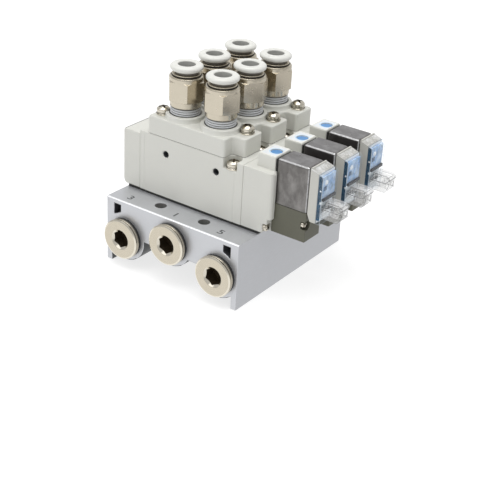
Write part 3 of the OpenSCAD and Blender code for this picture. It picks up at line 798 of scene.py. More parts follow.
CLEAR = ClearFinish("clear plastic", (0.93, 0.93, 0.925), rough=0.04, cloud=0.05,
                    cloud_grain=1.2, relief=0.003, gloss_play=0.03, clear=0.60, index=1.02,
                    alpha=0.62)
# Pale, less clear roundings on the clear window: a painted reflection outlining its edges.
WINDOW_RIM_REFLECTION = ClearFinish("clear blue plastic, painted pale reflection at edges", (0.70, 0.78, 0.86), rough=0.08, cloud=0.02,
                        relief=0.002, gloss_play=0.03, clear=0.4, index=1.02)
# Grey, less clear roundings on the clear plug: a painted dark reflection outlining its edges.
CLEAR_OUTLINE_REFLECTION = ClearFinish("clear plastic, painted dark reflection at edges", (0.17, 0.175, 0.18), rough=0.08, cloud=0.02,
                         cloud_grain=2.0, relief=0.002, gloss_play=0.03, clear=0.1, index=1.02,
                         alpha=0.75)
# Grey for the bore of the white release collars: painted shade.
COLLAR_BORE_SHADE = Finish("painted shade in a collar bore", (0.39, 0.39, 0.37), rough=0.5, cloud=0.05)
# Near-white colour for the bar's front-top chamfer: a painted highlight.
BAR_EDGE_HIGHLIGHT = Finish("painted highlight on a machined chamfer", (0.93, 0.94, 0.96), rough=0.3, metal=0.3, cloud=0.02)
# Near-black paint inside slots and holes: painted shade.
DEEP_HOLE_SHADE = Finish("painted shade deep in holes", (0.065, 0.067, 0.073), rough=0.7, cloud=0.05)
# Dark grey in the mouths of ports and in fixing holes: painted shade.
MOUTH_SHADE = Finish("mouth of a port", (0.20, 0.20, 0.19), rough=0.6, cloud=0.05)
# Near-black paint for the bar's underside and low inner sides: painted shade.
BAR_UNDERSIDE_SHADE = Finish("painted shade under the bar", (0.10, 0.105, 0.105), rough=0.5, metal=0.5, cloud=0.04)
SOCKET_SHADE = Finish("depth of a socket", (0.11, 0.085, 0.055), rough=0.35, metal=0.7, cloud=0.2,
                      cloud_grain=1.2)
SLEEVE_SHADE = Finish("sleeve in the shade", (0.17, 0.155, 0.135), rough=0.5, cloud=0.05)
GROOVE_SHADE = Finish("depth of a groove", (0.045, 0.042, 0.038), rough=0.55, cloud=0.05)
# A lighter copy of the cover's finish for its top faces: painted light.
COVER_LIGHTER_ABOVE = WornFinish("drawn steel cover, painted light on top", (0.215, 0.208, 0.21), rough=0.34, metal=0.75,
                       cloud=0.10, cloud_grain=2.6, stretch=(1.0, 1.0, 5.0), speck=0.08,
                       speck_grain=0.22, relief=0.004, gloss_play=0.08, rubbed=(0.34, 0.335, 0.34))
COVER_SHADED = Finish("drawn steel cover, gap side", (0.055, 0.05, 0.05), rough=0.5, metal=0.5,
                      cloud=0.15)
# Pale steel for the rounded edges of the coil covers: a painted highlight.
COVER_EDGE_HIGHLIGHT = Finish("painted highlight on steel edges", (0.50, 0.50, 0.505), rough=0.32, metal=0.8, cloud=0.2,
                     cloud_grain=1.0, speck=0.1)
SPOOL_METAL = Finish("turned spool", (0.66, 0.67, 0.68), rough=0.24, metal=1.0, cloud=0.04,
                     speck_grain=0.1, stretch=(0.3, 4.0, 4.0))
ARMATURE_STEEL = Finish("soft magnetic steel", (0.42, 0.42, 0.43), rough=0.28, metal=1.0,
                        cloud=0.06, speck_grain=0.12)
COPPER = WoundFinish("copper winding", (0.62, 0.28, 0.12), rough=0.25, metal=0.9, cloud=0.08)


@dataclass
class ManifoldBar:
    """The extruded bar with its plugs, seals and port numbers."""

    front_y: float = -34.75
    half_x: float = 29.7
    top_z: float = 25.8
    gallery_x: float = 21.1
    gallery_z: float = 11.6
    middle_z: float = 16.6
    fix_x: float = 9.8
    fix_y: float = 28.15
    fix_radius: float = 2.15
    slot_x: tuple[float, float] = (23.1, 26.3)
    slot_z: tuple[float, float] = (19.48, 23.8)
    plug_radius: float = 7.65
    plug_low: float = 1.1
    plug_high: float = 2.9
    shank_radius: float = 5.7
    shank_len: float = 8.0
    socket_flats: float = 6.0
    socket_deep: float = 5.0
    mouth_radius: float = 3.86
    mark_height: float = 2.9
    mark_in: float = 2.85
    mark_width: float = 1.25
    mark_weight: float = 0.045
    marks: tuple[tuple[str, float], ...] = (("3", -21.8), ("1", -1.0), ("5", 19.0))
    cut_edge: float = 0.4
    worn_edge: float = 0.28
    dark_under: float = 12.0

    def build_bar(self) -> None:
        """The bar: a machined front chamfer painted bright as a highlight, the others eased as
        after tumbling.
        """
        bar = Workpiece.copy_of("manifold", "manifold_bar")
        edge_y, edge_z = self.front_y + 0.1, self.top_z - 0.1
        bar.pick(Pick.EDGES, lambda c, d: abs(d.x) > ALONG and c.y < edge_y and c.z > edge_z)
        bar.bevel(self.cut_edge, 1)
        bar.ease(self.worn_edge, steps=2, angle=50)
        bar.smooth().paint(ANODISED)
        # The front-top chamfer is painted near white: a painted highlight along the edge.
        cut_z = self.top_z - self.cut_edge - 0.05
        bar.paint_faces(BAR_EDGE_HIGHLIGHT, lambda c, n: n.y < -0.6 and n.z > 0.6 and c.z > cut_z)
        (x0, x1), (z0, z1) = self.slot_x, self.slot_z

        def inside(c: Vector, n: Vector) -> bool:
            """Whether a face lies in one of the slots."""
            return (x0 - 0.05 < abs(c.x) < x1 + 0.05 and z0 - 0.05 < c.z < z1 + 0.05
                    and abs(n.y) < 0.3)

        # The fixing holes in the bar's top are painted dark grey: painted shade.
        bar.paint_faces(MOUTH_SHADE, lambda c, n: abs(n.z) < 0.3 and math.hypot(
            abs(c.x) - self.fix_x, abs(c.y) - self.fix_y) < self.fix_radius + 0.02)
        # The underside and the low inner sides between the legs are painted near black: painted
        # shade.
        under, reach = self.dark_under, self.half_x - 1.0
        bar.paint_faces(BAR_UNDERSIDE_SHADE, lambda c, n: n.z < -0.3 and c.z > 0.5 or abs(n.y) < 0.5
                        and c.z < under and abs(c.x) < reach)
        # The slots' walls are painted near black: painted shade.
        bar.paint_faces(DEEP_HOLE_SHADE, inside)
        bar.deliver(FIXED, "anodised_bar", "manifold")

    def plug_pattern(self) -> Workpiece:
        """One flanged plug with a hexagon socket, its face up and its seat at height 0.

        Returns:
            The pattern.
        """
        rim, low, high = self.plug_radius, self.plug_low, self.plug_high
        shank, mouth = self.shank_radius, self.mouth_radius
        plug = Workpiece.turned("plug_pattern", [
            (0, -self.shank_len), (shank - 0.8, -self.shank_len), (shank, -self.shank_len + 0.8),
            (shank, -0.6), (shank - 0.5, -0.1), (shank - 0.5, low), (rim - 0.14, low),
            (rim - 0.02, low + 0.1), (rim - 0.02, low + 0.62), (rim - 0.14, low + 0.76),
            (rim - 0.42, low + 0.8), (rim - 0.42, low + 0.98), (rim - 0.12, low + 1.04),
            (rim, low + 1.14), (rim, high - 0.32), (rim - 0.08, high - 0.22),
            (rim - 0.52, high - 0.02), (rim - 0.6, high), (mouth + 0.14, high),
            (mouth, high - 0.05), (mouth - 0.95, high - 0.85), (0, high - 0.85)], steps=96)
        socket = Workpiece.rod("socket", self.socket_flats / 2 / math.cos(math.pi / 6),
                               high - self.socket_deep, high + 1, sides=6)
        socket.pick(Pick.EDGES, lambda c, d: abs(d.z) > ALONG).bevel(0.25, 2)
        plug.combine(socket, Cut.TAKE_AWAY)
        plug.smooth(32).paint(NICKEL)
        # The outer chamfer and the socket's mouth get lighter nickel: a painted highlight.
        plug.paint_faces(PLUG_CHAMFER_HIGHLIGHT, lambda c, n: 0.2 < n.z < 0.995 and c.z > high - 0.86
                         and (off_axis(c) > rim - 0.58 or off_axis(c) < mouth))
        reach, deep = self.socket_flats / 2 + 0.5, high - 0.55
        plug.paint_faces(SOCKET_SHADE, lambda c, n: off_axis(c) < reach and (
            c.z < deep - 2 or c.z < deep and abs(n.z) < 0.3))
        return plug.paint_faces(GROOVE_SHADE, lambda c, n: low + 0.78 < c.z < low + 1.02
                                and off_axis(c) > rim - 0.5)

    def build_plugs(self) -> None:
        """Three copies of the plug on the bar's front end."""
        pattern = self.plug_pattern()
        places = ((-self.gallery_x, self.gallery_z, 0), (0, self.middle_z, 3),
                  (self.gallery_x, self.gallery_z, -4))
        for number, (x, z, spin) in enumerate(places, 1):
            plug = pattern.copy(f"port_plug_{number}", (x, self.front_y, z), Axis.FRONT, spin)
            plug.deliver(FIXED, "nickel_plated_brass", "port_plugs")
        pattern.scrap()

    def build_marks(self) -> None:
        """Plain port numbers printed on the bar's top."""
        for digit, x in self.marks:
            clear_selection()
            bpy.ops.object.text_add()
            text = bpy.context.object
            text.data.body = digit
            text.data.size = self.mark_height / 0.7
            text.data.align_x = "CENTER"
            text.data.extrude = 0.01
            text.data.offset = self.mark_weight
            bpy.ops.object.convert(target="MESH")
            mark = Workpiece(bpy.context.object, f"port_number_{digit}")
            mark.obj.location = (x, self.front_y + self.mark_in, self.top_z + 0.012)
            mark.obj.scale = (self.mark_width, 1.0, 1.0)
            mark.settle().clean()
            mark.paint(INK).deliver(FIXED, "black_rubber")

    def build(self) -> None:
        """Build the bar and everything on it."""
        self.build_bar()
        self.build_plugs()
        self.build_marks()
        dress("plug_seals", RUBBER)
        dress("gaskets", RUBBER)


@dataclass
class ScrewKind:
    """A pan-head screw with a cross recess, its washers under it, its seat at height 0."""

    name: str
    head: float = 5.2
    height: float = 3.0
    shank: float = 2.5
    length: float = 14.0
    washers: bool = True

    def outline(self) -> list[tuple[float, float]]:
        """The screw's outline, turned round its axis.

        Returns:
            Points (radius, height).
        """
        rim, top, core = self.head / 2, self.height, self.shank / 2
        tip = -self.length
        foot = [(0, tip), (core - 0.4, tip), (core, tip + 0.4), (core, 0)]
        base = 0.0
        if self.washers:
            base, split = top * 0.36, top * 0.17
            foot += [(rim - 0.06, 0), (rim, 0.06), (rim, split - 0.06), (rim - 0.06, split),
                     (rim * 0.76, split), (rim * 0.76, split + 0.07), (rim * 0.9, split + 0.12),
                     (rim * 0.9, base - 0.14), (rim * 0.76, base - 0.08), (rim * 0.76, base)]
        head = top - base
        return foot + [(rim * 0.9, base), (rim * 0.95, base + 0.08),
                       (rim * 0.95, base + head * 0.38),
                       (rim * 0.92, base + head * 0.52), (rim * 0.84, base + head * 0.68),
                       (rim * 0.7, base + head * 0.84), (rim * 0.5, base + head * 0.95),
                       (rim * 0.25, top), (0, top)]

    def pattern(self) -> Workpiece:
        """Turn the screw and cut its recess.

        Returns:
            The pattern, dressed.
        """
        screw = Workpiece.turned(f"{self.name}_pattern", self.outline(), steps=48)
        wing, half, top = self.head * 0.40, self.head * 0.08, self.height
        deep = top - self.head * 0.26
        for spin in (0, 90):
            blade = Workpiece.block("blade", (-wing, -half, deep), (wing, half, top + 0.6))
            blade.pick(Pick.POINTS, lambda c, n: c.z < deep + 0.1)
            bpy.ops.transform.resize(value=(0.55, 0.8, 1.0))
            blade.leave()
            turned = blade.copy("turned_blade", spin=spin)
            blade.scrap()
            screw.combine(turned, Cut.TAKE_AWAY)
        screw.clean().smooth(32).paint(SCREW_NICKEL)
        reach = wing + 0.02
        screw.paint_faces(SOCKET_SHADE, lambda c, n: off_axis(c) < reach
                          and deep - 0.1 < c.z < top - 0.02
                          and (abs(n.z) < 0.55 or c.z < deep + 0.1))
        gaps = (top * 0.17, top * 0.36) if self.washers else ()
        inner, outer = self.shank / 2 + 0.2, self.head * 0.44
        return screw.paint_faces(GROOVE_SHADE, lambda c, n: inner < off_axis(c) < outer and any(
            gap - 0.16 < c.z < gap + 0.14 for gap in gaps))


@dataclass
class ValveHousing:
    """The castings of each valve and the screws that hold them down."""

    middle_x: float = -0.55
    half_y: float = 7.5
    block_x: tuple[float, float] = (-20.1, 19.0)
    block_z: tuple[float, float] = (49.7, 56.5)
    ear_len: float = 5.3
    ear_y: float = 2.6
    boss_radius: float = 7.1
    boss_z: float = 58.4
    port_x: tuple[float, float] = (-9.2, 6.4)
    port_radius: float = 4.35
    port_floor: float = 51.4
    way_x: tuple[float, float] = (-7.6, 5.0)
    way_radius: float = 2.0
    mouth_radius: float = 5.85
    block_screw_x: float = 16.25
    block_screw_y: float = 2.95
    screw_hole: float = 1.35
    spot_radius: float = 2.75
    valve_screw_x: float = 16.9
    valve_screw_y: float = 5.2
    valve_seat_z: float = 46.1
    groove_radius: float = 5.35
    side_round: float = 1.0
    top_round: float = 0.6
    foot_round: float = 0.16
    hole_x: tuple[float, float] = (-11.9, 10.4)
    hole_z: float = 43.5
    hole_radius: float = 1.25

    def boss(self, x: float) -> Workpiece:
        """One port boss, flared where it grows out of the slab.

        Args:
            x: Its place along the valve.

        Returns:
            The boss.
        """
        rim, top = self.boss_radius, self.boss_z
        low, slab = self.block_z[0] + 0.6, self.block_z[1]
        boss = Workpiece.turned("boss", [
            (0, low), (rim + 0.38, low), (rim + 0.38, slab - 0.5), (rim + 0.3, slab - 0.15),
            (rim + 0.16, slab + 0.15), (rim + 0.04, slab + 0.5), (rim, slab + 0.85),
            (rim, top - 0.4), (rim - 0.05, top - 0.22), (rim - 0.18, top - 0.08),
            (rim - 0.38, top), (0, top)], steps=96)
        boss.obj.location = (x, 0, 0)
        return boss.settle()

    def block_pattern(self) -> Workpiece:
        """The port block: slab, two ears and two bosses, drilled for ports and screws.

        Returns:
            The pattern, dressed.
        """
        (x0, x1), (z0, z1), half = self.block_x, self.block_z, self.half_y
        block = Workpiece.block("block_pattern", (x0, -half, z0), (x1, half, z1))
        for low, high in (((x0 - 1, self.ear_y, z0 - 1), (x0 + self.ear_len, half + 1, z1 + 1)),
                          ((x1 - self.ear_len, -half - 1, z0 - 1), (x1 + 1, -self.ear_y, z1 + 1))):
            block.combine(Workpiece.block("notch", low, high), Cut.TAKE_AWAY)
        block.flatten()
        block.pick(Pick.EDGES, lambda c, d: abs(d.z) > ALONG).bevel(self.side_round, 5)
        block.pick(Pick.EDGES, lambda c, d: c.z > z1 - 0.01 and abs(d.z) < 0.1)
        block.bevel(self.top_round, 4)
        block.pick(Pick.EDGES, lambda c, d: c.z < z0 + 0.01 and abs(d.z) < 0.1)
        block.bevel(self.foot_round, 2)
        for x in self.port_x:
            block.combine(self.boss(x), Cut.JOIN)
        for x in self.port_x:
            mouth = Workpiece.turned("mouth", [
                (0, self.port_floor), (self.port_radius, self.port_floor),
                (self.port_radius, self.boss_z - 1.5), (self.groove_radius, self.boss_z - 0.85),
                (self.groove_radius, self.boss_z - 0.6), (self.mouth_radius, self.boss_z - 0.05),
                (self.mouth_radius + 0.05, self.boss_z + 1), (0, self.boss_z + 1)], steps=72)
            mouth.obj.location = (x, 0, 0)
            block.combine(mouth.settle(), Cut.TAKE_AWAY)
        for x in self.way_x:
            way = Workpiece.rod("way", self.way_radius, z0 - 1, self.port_floor + 0.5, 32)
            way.obj.location = (x, 0, 0)
            block.combine(way.settle(), Cut.TAKE_AWAY)
        for side in (-1, 1):
            for radius, low in ((self.screw_hole, z0 - 1), (self.spot_radius, z1)):
                tool = Workpiece.rod("drill", radius, low, self.boss_z + 1, 48)
                tool.obj.location = (self.middle_x + side * self.block_screw_x,
                                     side * self.block_screw_y, 0)
                block.combine(tool.settle(), Cut.TAKE_AWAY)
        block.flatten().smooth(30).paint(CAST_PAINT)
        mouth_z = self.boss_z - 0.02

        def in_mouth(c: Vector, n: Vector) -> bool:
            """Whether a face lies in the mouth of a port."""
            near = min(math.hypot(c.x - x, c.y) for x in self.port_x)
            return near < self.mouth_radius and self.boss_z - 1.6 < c.z < mouth_z

        block.paint_faces(GROOVE_SHADE, lambda c, n: c.z < z0 + 0.15 and -0.95 < n.z < -0.1)
        # The ports' mouths are painted dark grey: painted shade.
        return block.paint_faces(MOUTH_SHADE, in_mouth)

    def build_castings(self, station: int) -> None:
        """Body and end cap of one valve, their edges rounded as cast.

        Args:
            station: The station's number.
        """
        for part, width, angle in (("valve_body", 0.28, 50), ("end_cap", 0.32, 35)):
            node = f"{part}_{station}"
            piece = Workpiece.copy_of(node, f"{node}_cast").ease(width, steps=3, angle=angle)
            piece.smooth().paint(CAST_PAINT)
            front = station_y(station) - self.half_y
            if part == "valve_body":
                # The body's side holes are painted near black: painted shade.
                piece.paint_faces(DEEP_HOLE_SHADE, lambda c, n: c.y - front > 0.1 and min(
                    math.hypot(c.x - x, c.z - self.hole_z) for x in self.hole_x) < self.hole_radius)
            piece.deliver(FIXED, "painted_die_casting", node)

    def build_screws(self) -> None:
        """Two screws in each block's ears and two in each body's notches."""
        short = ScrewKind("block_screw").pattern()
        long = ScrewKind("valve_screw", length=25.3).pattern()
        for station in STATIONS:
            y = station_y(station)
            for side, turn in ((-1, 24), (1, 50)):
                end = "left" if side < 0 else "right"
                place = (self.middle_x + side * self.block_screw_x, y + side * self.block_screw_y,
                         self.block_z[1])
                short.copy(f"block_screw_{station}_{end}", place, spin=turn + 31 * station).deliver(
                    FIXED, "plated_steel", "block_screws")
                place = (self.middle_x + side * self.valve_screw_x, y - side * self.valve_screw_y,
                         self.valve_seat_z)
                long.copy(f"valve_screw_{station}_{end}", place, spin=turn - 17 * station).deliver(
                    FIXED, "plated_steel", "valve_screws")
        short.scrap()
        long.scrap()

    def build(self) -> None:
        """Build the castings of all valves and their screws."""
        block = self.block_pattern()
        for station in STATIONS:
            self.build_castings(station)
            node = f"port_block_{station}"
            block.copy(f"{node}_cast", (0, station_y(station), 0)).deliver(
                FIXED, "painted_die_casting", node)
            dress(f"spool_{station}", SPOOL_METAL)
        block.scrap()
        self.build_screws()


@dataclass
class PushInFittings:
    """Push-in tube fittings: nickel body, sealant on the thread, white release collar."""

    port_a: float = -9.2
    port_b: float = 6.4
    boss_z: float = 58.4
    foot_z: float = 61.0
    ring_z: float = 73.2
    collar_z: float = 74.0
    tube_z: float = 76.3
    sleeve_radius: float = 4.1
    bore_radius: float = 3.1
    collar_radius: float = 5.85
    thread_radius: float = 5.1
    thread_pitch: float = 0.86
    shoulder_z: float = 72.4

    def collar_pattern(self) -> Workpiece:
        """The release collar: a thin sleeve with a rounded head.

        Returns:
            The pattern, dressed.
        """
        low, top, rim, bore = self.collar_z, self.tube_z, self.collar_radius, self.bore_radius
        collar = Workpiece.turned("collar_pattern", [
            (bore, self.ring_z - 3.9), (self.sleeve_radius, self.ring_z - 3.9),
            (self.sleeve_radius, low), (rim - 1.35, low), (rim - 0.95, low + 0.08),
            (rim - 0.5, low + 0.3), (rim - 0.14, low + 0.62), (rim, low + 0.95),
            (rim, low + 1.4), (rim - 0.08, low + 1.68), (rim - 0.28, low + 1.92),
            (rim - 0.62, top - 0.12), (rim - 0.95, top - 0.03), (rim - 1.3, top), (bore + 0.5, top),
            (bore + 0.25, top - 0.05), (bore + 0.08, top - 0.18), (bore, top - 0.4)], steps=96)
        collar.smooth(50, even=False).paint(COLLAR_WHITE)
        reach, sleeve = bore + 0.05, self.sleeve_radius + 0.05
        # The collar's bore is painted grey: painted shade.
        collar.paint_faces(COLLAR_BORE_SHADE, lambda c, n: off_axis(c) < reach and c.z < top - 0.4)
        return collar.paint_faces(SLEEVE_SHADE, lambda c, n: reach < off_axis(c) < sleeve
                                  and c.z < low)

    def thread_pattern(self) -> Workpiece:
        """The sealed thread that stands out of the boss, as rounded turns.

        Returns:
            The pattern, dressed.
        """
        core, crest = self.thread_radius + 0.05, self.thread_radius + 0.36
        low, high = self.boss_z - 0.08, self.foot_z - 0.05
        outline = [(core - 0.4, high), (core - 0.4, low)]
        height = low
        while height + self.thread_pitch < high + 0.05:
            outline += [(core, height), (crest - 0.16, height + 0.1), (crest, height + 0.26),
                        (crest, height + 0.46), (crest - 0.16, height + 0.6),
                        (core, height + 0.69)]
            height += self.thread_pitch
        outline.append((core, high))
        thread = Workpiece.turned("thread_pattern", outline, steps=72).smooth(55, even=False)
        thread.paint(SEALANT)
        return thread.paint_faces(GROOVE_SHADE, lambda c, n: off_axis(c) < core + 0.05)

    def build(self) -> None:
        """Build the six fittings."""
        collar = self.collar_pattern()
        thread = self.thread_pattern()
        for station in STATIONS:
            node = f"fittings_{station}"
            body = Workpiece.copy_of(node, f"{node}_nickel").ease(0.09, steps=2, angle=38)
            body.smooth(35).paint(NICKEL)
            foot, top = self.shoulder_z - 0.05, self.shoulder_z + 0.19
            body.paint_faces(GROOVE_SHADE, lambda c, n: foot < c.z < top)
            body.deliver(FIXED, "nickel_plated_brass", node)
            for letter, x in (("a", self.port_a), ("b", self.port_b)):
                place = (x, station_y(station), 0)
                name = f"release_collar_{station}{letter}"
                collar.copy(f"{name}_white", place).deliver(name, "white_plastic", name)
                thread.copy(f"thread_{station}{letter}", place).deliver(FIXED, "grey_moulding")
        collar.scrap()
        thread.scrap()


@dataclass
class PilotUnit:
    """The pilot of each valve: adaptor with label and override, coil cover, base, screws."""

    head_x0: float = 25.9
    head_x1: float = 33.0
    head_half: float = 4.8
    head_z: float = 54.7
    button_x: float = 30.2
    button_radius: float = 2.1
    button_z: float = 54.6
    button_len: float = 8.0
    cover_x0: float = 33.6
    cover_x1: float = 46.62
    cover_z0: float = 38.3
    cover_top: float = 55.0
    cover_round: float = 1.15
    sheet: float = 0.6
    side_seat_x: float = 31.1
    side_screw_y: float = 5.9
    side_screw_z: tuple[float, float] = (28.6, 47.1)
    base_seat_x: float = 44.8
    base_screw_y: float = 3.6
    base_screw_z: float = 33.4

    def button_pattern(self) -> Workpiece:
        """The manual override button, slightly domed.

        Returns:
            The pattern, dressed.
        """
        rim, top = self.button_radius, self.button_z
        low = top - self.button_len
        button = Workpiece.turned("button_pattern", [
            (0, low), (rim - 0.5, low), (rim - 0.5, top - 3), (rim, top - 2.6), (rim, top - 0.22),
            (rim - 0.07, top - 0.09), (rim - 0.22, top - 0.02), (rim - 0.6, top), (0, top)],
            steps=48)
        return button.smooth(40).paint(BUTTON_BLUE)

    def label_pattern(self) -> Workpiece:
        """The label on the adaptor's head: a raised frame round a printed field.

        Returns:
            The pattern, dressed.
        """
        x0, x1, half = self.head_x0 + 0.25, self.head_x1 - 0.25, self.head_half - 0.25
        label = Workpiece.block("label_pattern", (x0, -half, self.head_z),
                                (x1, half, self.head_z + 0.16))
        label.pick(Pick.EDGES, lambda c, d: abs(d.z) > ALONG).bevel(0.5, 3)
        field = Workpiece.block("field", (x0 + 0.6, -half + 0.6, self.head_z + 0.08),
                                (x1 - 0.6, half - 0.6, self.head_z + 1))
        label.combine(field, Cut.TAKE_AWAY)
        hole = Workpiece.rod("hole", self.button_radius + 0.08, self.head_z - 1, self.head_z + 1)
        hole.obj.location = (self.button_x, 0, 0)
        label.combine(hole.settle(), Cut.TAKE_AWAY)
        label.smooth(30, even=False).paint(LABEL_WHITE)
        height = self.head_z + 0.1
        return label.paint_faces(LABEL_FIELD, lambda c, n: n.z > ALONG and c.z < height)

    def halo_pattern(self) -> Workpiece:
        """The pale ring printed round the button, as a thin film.

        Returns:
            The pattern, dressed.
        """
        field = self.head_z + 0.075
        inner, outer = self.button_radius + 0.08, self.button_radius + 0.6
        halo = Workpiece.turned("halo_pattern", [
            (inner, field), (outer, field), (outer, field + 0.02), (inner, field + 0.02)], steps=64)
        return halo.smooth(30).paint(LABEL_BLUE)

    def cover_pattern(self) -> Workpiece:
        """The coil's cover: folded sheet with round corners, open underneath.

        Returns:
            The pattern, dressed.
        """
        half, low, top = self.head_half, self.cover_z0 + 0.18, self.cover_top
        cover = Workpiece.block("cover_pattern", (self.cover_x0, -half, low),
                                (self.cover_x1, half, top))
        cover.pick(Pick.EDGES, lambda c, d: c.z > low + 0.1).bevel(self.cover_round, 6)
        cover.pick(Pick.FACES, lambda c, n: n.z < -ALONG)
        bpy.ops.mesh.delete(type="FACE")
        cover.leave()
        cover.apply("SOLIDIFY", thickness=self.sheet, offset=-1.0, use_even_offset=True)
        cover.smooth(35).paint(COVER_METAL)
        # The top faces are painted lighter than the sides: painted light.
        cover.paint_faces(COVER_LIGHTER_ABOVE, lambda c, n: n.z > ALONG and c.z > top - 0.1)
        # The rounded front edges are painted pale: a painted highlight.
        cover.paint_faces(COVER_EDGE_HIGHLIGHT, lambda c, n: c.z > top - self.cover_round and n.y < -0.45
                          and 0.45 < n.z < 0.9 or n.y < -0.4 and n.x > 0.4)
        return cover.paint_faces(GROOVE_SHADE, lambda c, n: n.z < -ALONG and c.z < low + 0.1)

    def build_unit(self, station: int) -> None:
        """The adaptor and the base of one pilot.

        Args:
            station: The station's number.
        """
        node = f"pilot_adaptor_{station}"
        adaptor = Workpiece.copy_of(node, f"{node}_cast").ease(0.3, steps=3, angle=50)
        adaptor.smooth().paint(CAST_PAINT)
        adaptor.deliver(FIXED, "painted_die_casting", node)
        node = f"pilot_base_{station}"
        base = Workpiece.copy_of(node, f"{node}_moulding").ease(0.22, steps=2, angle=50)
        base.smooth().paint(OLIVE).deliver(FIXED, "olive_moulding", node)
        dress(f"coil_{station}", COPPER)
        dress(f"armature_{station}", ARMATURE_STEEL)

    def build_screws(self) -> None:
        """Four small screws for each pilot."""
        side = ScrewKind("side_screw", head=3.0, height=1.6, shank=1.6, length=12.1,
                         washers=False).pattern()
        front = ScrewKind("front_screw", head=2.4, height=1.6, shank=1.6, length=4.5,
                          washers=False).pattern()
        for station in STATIONS:
            y = station_y(station)
            for number, sign in enumerate((1, -1)):
                place = (self.side_seat_x, y - sign * self.side_screw_y, self.side_screw_z[number])
                screw = side.copy(f"adaptor_screw_{station}_{number + 1}", place, Axis.RIGHT,
                                  20 * station)
                screw.deliver(FIXED, "plated_steel", "pilot_screws")
                place = (self.base_seat_x, y + sign * self.base_screw_y, self.base_screw_z)
                screw = front.copy(f"base_screw_{station}_{number + 1}", place, Axis.RIGHT,
                                   35 * station)
                screw.deliver(FIXED, "plated_steel", "pilot_screws")
        side.scrap()
        front.scrap()

    def build(self) -> None:
        """Build the three pilots."""
        button, label = self.button_pattern(), self.label_pattern()
        halo, cover = self.halo_pattern(), self.cover_pattern()
        for station in STATIONS:
            y = station_y(station)
            self.build_unit(station)
            on_button = (self.button_x, y, 0)
            name = f"override_button_{station}"
            button.copy(f"{name}_blue", on_button).deliver(name, "blue_plastic", name)
            label.copy(f"label_{station}", (0, y, 0)).deliver(FIXED, "white_plastic")
            halo.copy(f"label_ring_{station}", on_button).deliver(FIXED, "white_plastic")
            sheet = cover.copy(f"coil_cover_{station}_sheet", (0, y, 0))
            if station > 1:
                sheet.paint_faces(COVER_SHADED, lambda c, n: n.y < -ALONG)
            sheet.deliver(FIXED, "dark_steel", f"coil_cover_{station}")
        for pattern in (button, label, halo, cover):
            pattern.scrap()
        dress("pilot_gaskets", RUBBER)
        self.build_screws()


